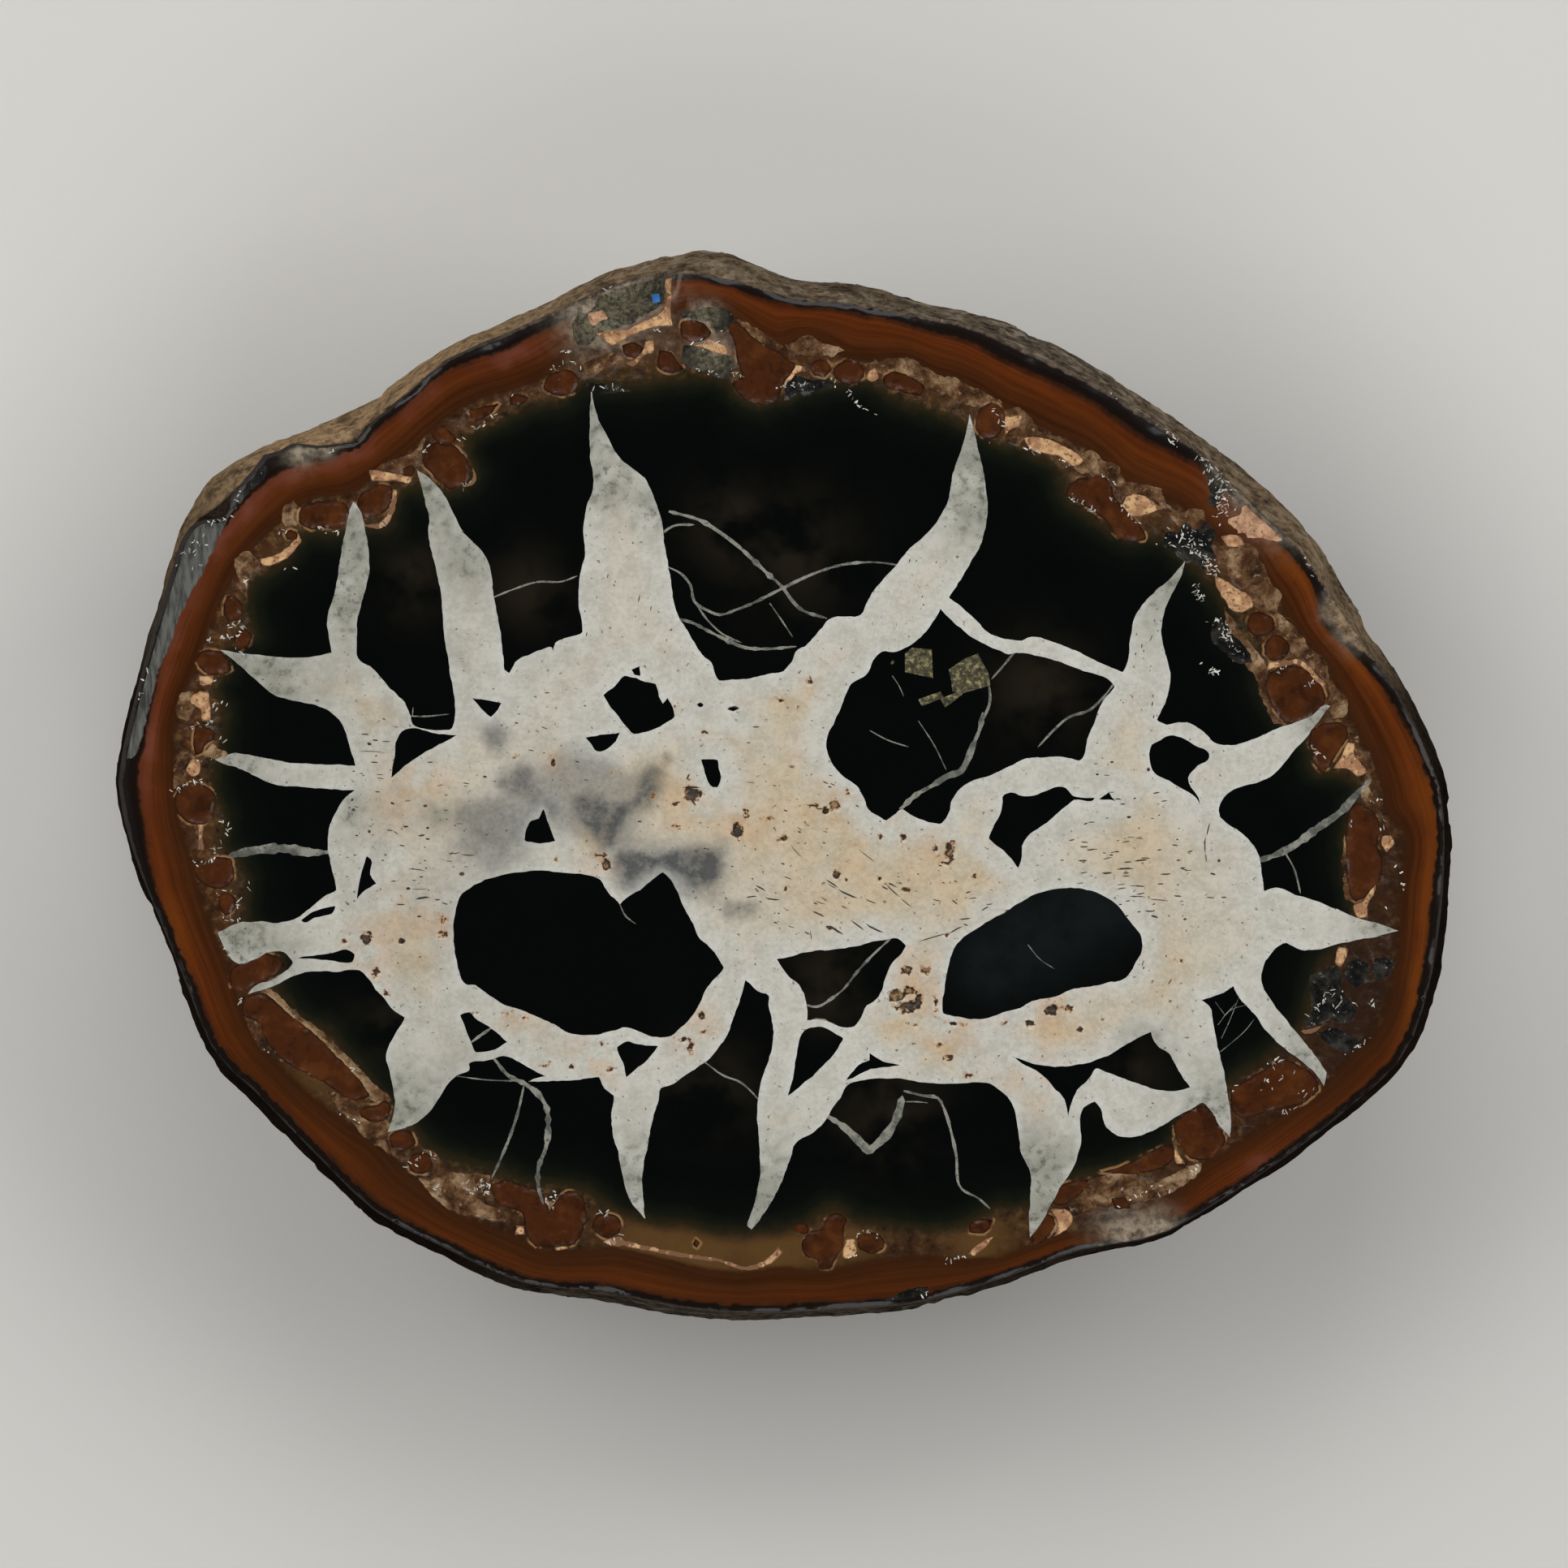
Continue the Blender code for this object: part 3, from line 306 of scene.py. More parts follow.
# Rings round the cut, clockwise from the left: outer and inner edge of the rusty band, edge of the black core
bandOuter = [
    -53.05, 0.6, -52.2, 5, -51.2, 10, -49.25, 15, -47.1, 20, -45.4, 21.8, -44.5, 23.1, -42.8, 24.7,
    -41, 25.9, -39.6, 26.4, -37.8, 26.7, -35.8, 27.6, -34.3, 28.6, -32.8, 30.15, -31.05, 31.9, -29, 33.4,
    -26.1, 34.7, -23.1, 35.7, -20, 37.2, -17.5, 38.4, -14, 40, -9.6, 41.2, -7.6, 41.65, -5.6, 41.5,
    -3.9, 40.7, -2, 40.1, 0.8, 39.5, 5, 39.1, 7.85, 38.6, 12.1, 37.3, 14.9, 36.6, 17.7, 35.2, 20.5, 33.9,
    23.3, 32.7, 26.1, 31.1, 29.5, 28.6, 32.2, 27.3, 34.6, 26, 38, 22.6, 40.8, 19.8, 42.9, 17.6, 44, 15.2,
    44.5, 13.1, 46.4, 11.2, 48.3, 9.3, 49.9, 7.2, 51.2, 5.05, 52.6, 2.6, 53.4, -0.3, 54, -4, 53.4, -8.6,
    53.1, -12, 52.6, -15.3, 52.1, -17.9, 51.3, -20.6, 50.4, -22.6, 48.8, -24.9, 46.8, -26.9, 43.8, -29.2,
    40.5, -31.5, 37.2, -33.8, 34.5, -35.5, 32.2, -36.7, 26, -38.2, 18, -41, 8, -42.8, 0.8, -43.3,
    -4.5, -43.3, -8.5, -43, -12.6, -42.2, -15.2, -41.4, -17.9, -41.4, -21.9, -40.9, -26, -38.75, -30, -37.1,
    -33.2, -34.7, -36.2, -32.3, -38.9, -29.9, -41, -27.5, -43.4, -25.6, -45.6, -23.7, -47.4, -20.8,
    -48.6, -18.1, -50.4, -13.6, -51.6, -9, -52.5, -4.7,
]
bandInner = [
    -50, 0.6, -50.1, 5, -48.1, 10, -46.3, 15, -43.1, 20, -41.3, 21.6, -40, 22.8, -37.8, 23.7, -35.5, 24,
    -33.4, 25.45, -31.05, 27.2, -29.1, 29, -26.9, 30.7, -24.3, 31.9, -21.7, 32.6, -19.3, 33.7, -17.5, 35.1,
    -13, 37.4, -8.4, 38.7, -4.8, 39.1, -3.4, 37.9, -2, 36.5, -0.3, 35.8, 2, 36.7, 3.6, 36, 4.9, 35.1,
    7.85, 34.8, 10.1, 34.9, 12.1, 33.9, 14.3, 33.2, 16.3, 32.25, 17.7, 31.1, 19.6, 30.3, 21.9, 29,
    24.7, 27.8, 26, 26.8, 27.6, 25.1, 29.5, 24.1, 32.5, 23, 34.6, 20.9, 38.6, 19, 39.7, 16.8, 41, 15,
    42.1, 13.1, 43.4, 11.5, 44.8, 9.6, 46.1, 7.2, 47.2, 4.8, 48.3, 2.4, 49.1, 0, 49.6, -2.2, 51.1, -4,
    50.9, -8.6, 50.8, -12, 50.4, -15.3, 49.9, -17.9, 48.8, -20.6, 46.8, -22.6, 44.5, -24.9, 42.1, -26.5,
    39.2, -28.5, 36.5, -30.2, 33.9, -31.85, 32.2, -33.5, 29.2, -34.7, 25.6, -36.5, 22.6, -38, 18.9, -38.8,
    15.6, -39.1, 10.6, -38.8, 7.3, -39.2, 3.5, -40, -0.5, -39.8, -3.2, -40.2, -5.9, -40, -8.5, -39.4,
    -11.2, -38.75, -13.9, -38.2, -16.6, -38.5, -19.3, -38.5, -21.9, -37.4, -24.6, -36.3, -27.3, -35,
    -29.2, -33.4, -31.3, -31.8, -33.2, -29.6, -36.2, -27.75, -38.6, -25.9, -41, -23.7, -43.1, -21.3,
    -44.75, -18.1, -45.7, -15.2, -46.9, -12.2, -48, -9, -48.8, -6.05, -49.7, -3.1,
]
coreEdge = [
    -46.8, 1.2, -46.2, 3.6, -46, 6.1, -46.6, 7.8, -45.9, 9.3, -45.9, 10.9, -43.4, 12.25, -44, 14.3,
    -43.7, 16.35, -41.9, 17.8, -40.15, 19.3, -39.6, 20.5, -36, 20.6, -34.3, 21.05, -32.5, 21.35,
    -31.9, 22.8, -31.6, 24, -30.2, 24.4, -27.8, 24, -26.1, 24.6, -25.5, 25.75, -26.1, 27.5, -25.8, 28.4,
    -23.7, 29.6, -20.8, 31, -18.1, 31.6, -16.4, 32.8, -13.2, 32.7, -9, 33.2, -4.8, 33.1, -3.65, 32,
    -2, 31.1, -0.3, 31.55, 1.4, 32.25, 4.2, 32.95, 7, 33.1, 8.7, 32, 10.9, 31.1, 13.5, 30.3, 15.7, 29.2,
    17.7, 27.9, 20.2, 27.2, 21.9, 26.4, 22.7, 25, 23.3, 23.55, 24.7, 22.3, 26.65, 21, 28.7, 20.05,
    30.9, 20.3, 32.5, 19, 34.1, 17.6, 35.1, 16.6, 36.5, 14.4, 37.6, 12.3, 39.2, 10.1, 39.4, 8.3, 40.5, 6.1,
    41.3, 5.05, 43.05, 3.4, 43.7, 1.3, 45.9, 0.8, 47.5, 0, 47.1, -1.6, 46.3, -4, 46.3, -7, 46.8, -10,
    45.8, -13.3, 44.1, -14.9, 43.5, -16.9, 42.8, -19.6, 40.5, -21.9, 38.8, -23.2, 36.5, -24.9, 32.9, -26.9,
    32.2, -29.2, 29.2, -30.9, 26.6, -31.85, 23.9, -32.5, 22.9, -33.8, 19.9, -34.8, 17.9, -34.8, 14.9, -36.2,
    12.3, -36.7, 9, -36.3, 6, -35.8, 4, -34.9, 2.2, -35.8, 0.3, -36.6, -2.4, -36.9, -5.1, -36.9,
    -7.7, -36.3, -10.4, -36.1, -12.6, -35.5, -14.7, -34.5, -16.6, -33.4, -19, -32.9, -21.7, -32.6,
    -23.3, -31.8, -26, -31.25, -27.8, -30.7, -29.2, -29.9, -30, -28.8, -33.2, -25.3, -34.6, -23.7,
    -36.2, -21.9, -37.5, -20.25, -39.4, -19.4, -41, -17.8, -41.5, -16.8, -41.4, -14.4, -44.2, -11.1,
    -44.2, -9, -44.5, -6.6, -46, -5, -45.8, -3.1, -46.6, -1,
]

# Brown chalcedony that fills the ring's vugs
chalcedony = [
    [-44.9, 12.4, -44.3, 12.8, -43.7, 12.4, -43.8, 11.5, -44.5, 11.1, -45.1, 11.6],
    [-45.6, 15.5, -44.8, 15.2, -44.4, 14.2, -44.9, 13.4, -45.7, 13.5, -46, 14.5],
    [-47.4, 11, -46.3, 10.9, -45.6, 10.1, -45.4, 9.4, -46.2, 9, -47.3, 9.1, -48, 9.6, -48.2, 10.4],
    [-48.2, 4.8, -47.4, 4.7, -46.7, 4.3, -46.8, 3.6, -47.4, 3.3, -47.7, 2.6, -48.3, 2.4, -48.5, 3.3],
    [-49.9, -1, -49.4, -0.2, -48.4, 0.1, -47.4, -0.2, -46.7, -0.8, -46.6, -1.8, -46.9, -2.8, -47.8, -3.3,
     -49, -3.1, -49.8, -2.2],
    [-48.6, -6.5, -47.6, -6.4, -46.4, -6, -45.4, -6.2, -45.1, -7.2, -45.3, -8, -46.1, -8.6, -47.2, -8.5,
     -48.2, -7.6],
    [-46.3, -9.2, -45.6, -9, -45, -9.4, -45.1, -10.2, -45.8, -10.8, -46.3, -10.2],
    [-45.6, -12.4, -44.9, -12.3, -44.2, -12.6, -44.4, -13.3, -45.3, -13.4, -45.7, -13],
    [-44.6, -14.6, -43.6, -14.2, -42.6, -13.9, -41.6, -14.2, -40.9, -14.9, -41.6, -15.6, -42.9, -16.3,
     -44.2, -17, -45.2, -16.9, -45.4, -15.6],
    [-44.2, -17.6, -42.6, -17.2, -41.4, -18.2, -40.2, -19.2, -38.6, -20.4, -37.2, -21.8, -35.8, -23.2,
     -34.6, -24.6, -34, -25.6, -35.2, -26, -36.4, -25.4, -38, -24.4, -39.6, -23.6, -41.4, -22.4,
     -42.4, -21.2, -43, -19.8, -44.4, -18.9],
    [-33.6, -26.4, -32.6, -26, -32.2, -26.6, -32.6, -27.5, -33.8, -27.7, -34.7, -27.2, -34.5, -26.6],
    [-32.4, -29, -31.4, -28.4, -30.5, -28.7, -30.2, -29.5, -31, -30.1, -32.1, -29.9],
    [-30.8, -30.9, -30, -30.3, -29, -30.5, -28.8, -31.4, -29.6, -32, -30.6, -31.7],
    [-24, -33, -22.6, -32.5, -21.4, -33, -20.4, -33.2, -19.6, -34, -19.3, -35.2, -18.4, -34, -17.4, -33.4,
     -16.6, -33.8, -16.2, -35, -16.4, -36.6, -17.2, -37.8, -19, -38, -20.6, -37.8, -21.2, -36.6,
     -21.4, -35.2, -22.6, -34.8, -23.6, -34.3],
    [-15.4, -35.6, -14.4, -35.3, -13.5, -35.7, -13.4, -36.6, -14.2, -37.3, -15.2, -37, -15.7, -36.3],
    [-7.2, -37.4, -6.8, -37.7, -7.1, -38.1, -7.4, -37.8],
    [1.6, -37.6, 2.4, -36.8, 3.2, -36.5, 3.6, -35.6, 4.4, -35.2, 5.2, -35.7, 5, -36.6, 4.9, -38, 4.3, -39,
     3.9, -39.8, 3, -39.8, 2.8, -39.2, 1.9, -38.8, 1.5, -38.2],
    [0.8, -36.4, 1.5, -36.1, 2.1, -36.3, 2, -36.9, 1.2, -36.9],
    [6.1, -37.4, 6.6, -36.9, 7.5, -36.9, 8.2, -37.3, 8.3, -38, 7.6, -38.5, 6.6, -38.4, 6.1, -38],
    [15.2, -36.2, 16.2, -35.7, 17.2, -35.8, 17, -36.5, 16.2, -36.9, 15.3, -36.8],
    [20.3, -37.4, 20.9, -36.2, 21.5, -35.3, 22.1, -35.5, 22.3, -36.2, 21.7, -37.2, 20.8, -37.9],
    [21.9, -34.3, 22.8, -33, 24, -32.6, 25.2, -32.4, 24.6, -33.4, 23.6, -34.3, 22.6, -34.6],
    [26, -31.9, 27.8, -31.4, 29.2, -30.7, 30.6, -30, 32, -29.5, 32.2, -30.4, 31.4, -31.4, 30, -31.9, 28, -32],
    [32.2, -27.9, 33.2, -26.9, 34.4, -26.4, 35.2, -27, 35.8, -28.1, 36.3, -29.2, 35.8, -30.2, 34.6, -30.9,
     33.6, -30.8, 32.8, -29.9, 32.2, -29],
    [36.9, -25.2, 38.2, -24.2, 39.6, -23.4, 41, -22.6, 42.4, -23.2, 43.6, -24, 44, -25, 43, -26,
     41.4, -26.6, 39.6, -27, 37.6, -27.4, 36.9, -26.8],
    [27, -34.1, 28.2, -34, 28.4, -34.8, 27.2, -34.9],
    [38.4, 13.9, 39.3, 14.1, 40.2, 13.6, 40.4, 12.8, 39.7, 12.3, 38.9, 12.1, 38.2, 12.7],
    [39.6, 11.6, 40.2, 12.2, 41.2, 12, 41.6, 11.2, 41.2, 10.4, 40.2, 10.1, 39.6, 10.7],
    [39.7, 8.6, 40.4, 9.4, 41.6, 9.7, 42.7, 9.5, 43.6, 8.6, 44.4, 7.8, 44.5, 6.8, 43.9, 5.9, 42.6, 5.2,
     41.4, 5, 40.4, 6, 39.8, 7.2],
    [43.4, 4.4, 44.6, 5, 45.8, 5, 46.4, 4.2, 46, 3.2, 45.3, 2.2, 44.8, 1.4, 44.2, 0.9, 43.6, 1.8, 43.3, 3],
    [46.8, -1.6, 47.8, -1.8, 48.6, -2.4, 49, -3.6, 48.8, -5, 49.2, -6.4, 49, -7.8, 48.4, -8.6, 47.6, -9.4,
     46.9, -9.6, 46.4, -8.4, 46.3, -6.6, 46.2, -4.6, 46.4, -2.8],
    [23.4, 24.4, 24.2, 25, 25.2, 25.1, 26.2, 25.3, 26.9, 24.6, 27.2, 23.6, 28, 22.6, 29, 21.6, 29.6, 20.8,
     29.8, 20.1, 28.8, 19.9, 27.6, 20.2, 27, 20.9, 26.4, 21.7, 25.2, 22.6, 24.2, 23.2, 23.2, 23.8],
    [15.9, 30.2, 16.4, 31, 17.3, 31.3, 18.1, 30.6, 18.1, 29.4, 17.6, 28.5, 16.5, 28.4, 15.9, 29.1],
    [8.2, 33.4, 9.2, 33.9, 10, 33.6, 11, 33.2, 11.6, 32.5, 11.3, 31.9, 10.2, 32.1, 9, 32.4, 8.2, 32.8],
    [4.2, 34.1, 4.8, 34.7, 5.8, 34.8, 6.5, 34.3, 6.6, 33.4, 5.8, 32.9, 4.8, 33, 4.2, 33.5],
    [2.2, 34.3, 2.8, 34.8, 3.6, 34.7, 3.9, 34, 3.4, 33.5, 2.6, 33.6],
    [-4.6, 37.6, -3.8, 38, -3.2, 37.4, -2.4, 36.6, -1.4, 36, -0.4, 35.5, 0.2, 35, 1, 34.4, 0.6, 33.6,
     0.1, 33.1, -0.2, 32.3, -0.6, 31.4, -1.6, 31.1, -2.8, 31.4, -3.8, 32.1, -4.2, 33, -3.4, 33.4,
     -3.8, 34.9, -4, 36.2],
    [-8.4, 37.9, -7.4, 38.1, -6.4, 37.7, -5.9, 37.1, -6.6, 36.4, -7.6, 36.3, -8.4, 36.9],
    [-10.2, 35.6, -9.4, 35.5, -8.6, 34.6, -8.2, 34.1, -9.2, 33.7, -10.2, 34.2],
    [-13.2, 36, -12.2, 36.3, -11.4, 35.8, -12.2, 35, -13, 35.2],
    [-19.6, 33, -18.8, 33.8, -17.6, 34, -16.8, 33.3, -16.9, 32.4, -17.8, 31.9, -18.9, 32, -19.6, 32.4],
    [-22.4, 31.9, -21.6, 32, -20.9, 31.7, -21.6, 31.1, -22.4, 31.2],
    [-25.8, 30.6, -24.6, 31, -23.4, 31.2, -24.2, 30.3, -25.4, 29.6],
    [-29, 28.9, -28.2, 29.3, -27.4, 29, -26.9, 28.4, -27.4, 27.9, -28.4, 28.1],
    [-29.6, 26.4, -29.4, 27.4, -28.8, 28, -27.8, 27.9, -27, 27.8, -26.3, 27, -25.7, 26, -25.7, 25,
     -26.4, 24.5, -27.4, 24.2, -28.2, 24.8, -28.9, 25.5],
    [-35, 22.4, -34.9, 23.6, -34, 24.2, -32.9, 24.6, -32.2, 24.3, -32.2, 23.2, -32.8, 22.3, -33.8, 21.9,
     -34.8, 21.9],
    [-39.6, 22.6, -38.6, 23.1, -37, 23.2, -36, 23, -35.7, 22, -36.2, 21.1, -37.6, 21, -39, 21, -39.8, 21.6],
    [-41, 20.6, -40.4, 20.9, -39.9, 20.6, -40, 20.1, -40.7, 20.1],
    [-31.2, 25.9, -30.6, 26.2, -30.2, 25.9, -30.4, 25.3, -31.2, 25.4],
]

# Peach-coloured calcite between them
peachFills = [
    [-47.9, 7.6, -47.3, 7.6, -47.1, 6.7, -47, 5.2, -47.7, 5.2, -47.9, 6.1, -48.6, 6.6, -48.8, 6.9],
    [-48.5, 2, -48, 2, -47.9, 0.8, -48.6, 0.6, -49, 1],
    [-48.1, -3.3, -47.6, -3.3, -47.7, -4.4, -47.6, -5.4, -48.1, -5.4, -48, -4.4],
    [-48, 8.9, -46.8, 8.9, -47, 8.1, -47.9, 8.2],
    [-15.4, 37, -14.2, 37.2, -12.9, 37.3, -11.6, 38, -10.4, 38.5, -9.8, 39, -9.7, 41.2, -9.5, 43.3,
     -9.2, 43, -9.2, 41, -9.2, 38.6, -9.1, 37.6, -10.2, 37.6, -11.4, 37.3, -12.6, 36.8, -14.2, 36,
     -14.6, 36.4],
    [-7.8, 36.1, -6.6, 36.2, -6.1, 36.6, -5.4, 36.3, -4.6, 35.9, -4.2, 35.4, -5.2, 35.3, -6, 35.6],
    [-11.4, 36.4, -10.6, 36.4, -10.7, 35.4, -11.4, 35.2, -12.4, 34.3, -12.9, 34.6, -12, 35, -11.5, 35.8],
    [0.9, 34.4, 1.6, 34.3, 1.9, 33.9, 1.2, 33.8, 0.4, 33, -0.1, 32.7, 0.2, 33.3],
    [7.2, 34.1, 7.6, 34.2, 7.8, 33.3, 7.2, 33, 6.8, 33.3],
    [18.2, 30.2, 19.6, 30.2, 19.4, 29.4, 18.6, 29, 18.2, 28.6],
    [19.8, 28.4, 20.8, 28.5, 22.2, 28.2, 23.4, 27.6, 24.4, 27, 24.7, 26.5, 24, 26.1, 22.8, 26.8, 21.6, 27.2,
     20.4, 27.4],
    [27.8, 22.6, 28.2, 23.6, 29.2, 23.8, 30.4, 23.2, 31.2, 22.6, 30.2, 22.2, 29.2, 22, 28.6, 21.9],
    [36, 20.3, 37, 20.5, 37.6, 20.2, 37.9, 19.6, 36.4, 19.6],
    [35.4, 17.2, 36.2, 16.8, 37.4, 16, 38.4, 15.4, 38.6, 14.6, 37.4, 14.1, 36.8, 14.3, 36.2, 15.2,
     35.6, 16.2],
    [39.8, 10, 41, 10.1, 42.6, 10.2, 43.6, 9.2, 44.6, 8.2, 44.3, 7.9, 43.4, 8.8, 42.2, 9.8, 40.6, 9.6,
     39.8, 9.3],
    [45.8, 2.2, 46.4, 3.4, 46.9, 3.3, 46.9, 2.4, 47.6, 1.6, 48, 0.9, 47.2, 0.6, 46.4, 1.2, 45.2, 1.3],
    [49.2, -4.3, 49.9, -4.2, 50.2, -4.9, 49.6, -5.6, 49.2, -5],
    [48.2, -8.4, 48.7, -8.2, 48.6, -8.9, 48, -9.8, 48, -10.9, 47.2, -11, 46.8, -10, 47.7, -9.6],
    [45.6, -13.4, 46.4, -13.5, 46.2, -14.4, 45.8, -15, 45.4, -14.8],
    [42.6, -20.3, 44.4, -19.8, 43.8, -20.3, 42.9, -20.5],
    [32.3, -29.4, 32.5, -30.4, 33, -31.2, 32.4, -31.2, 32.1, -30.2],
    [22, -35, 23.4, -35, 23.8, -35.6, 23, -36.8, 22.2, -37.2, 22.6, -36.2, 22.3, -35.4],
    [15.2, -38.6, 16.6, -37.4, 17.3, -37.2, 16.6, -38, 15.6, -38.8],
    [-14, -37.4, -12.4, -37.7, -10.4, -38.1, -8, -38.6, -5.6, -38.9, -3, -39.6, -1.4, -39.1, -0.4, -38,
     0, -38.4, -0.8, -39.2, -2.4, -39.9, -5.6, -39.2, -8.2, -38.9, -10.8, -38.4, -13, -37.9],
    [5.2, -37.3, 5.8, -37.4, 6, -38.4, 5.4, -39, 4.9, -38.9],
    [-34, 25.8, -32.4, 25.6, -31.4, 25.4, -30.4, 25.2, -30.6, 24.8, -31.8, 24.9, -32.6, 24.9, -33.8, 25],
    [-43, 18.5, -42, 18.7, -41, 19.2, -40.2, 20, -39.9, 20.6, -39.6, 20, -40.4, 18.9, -41.6, 18.1,
     -42.8, 17.9],
    [-34.6, 21.4, -33.2, 21.4, -32.6, 22, -32.2, 22.9, -32, 24.2, -31.7, 24.2, -31.9, 22.6, -32.4, 21.5,
     -33.2, 21, -34.2, 21.1],
    [-26.4, 24.4, -25.6, 25, -25.5, 26, -25.2, 25.2, -25.8, 24.4],
    [-18.8, -37.3, -17.8, -37.4, -17.7, -38.2, -18.7, -38.3],
    [-21.9, -36.3, -21.3, -36.3, -21.2, -37, -22, -37],
    [-14.8, -37.6, -13.4, -37.2, -12.8, -37.8, -13.8, -38],
]

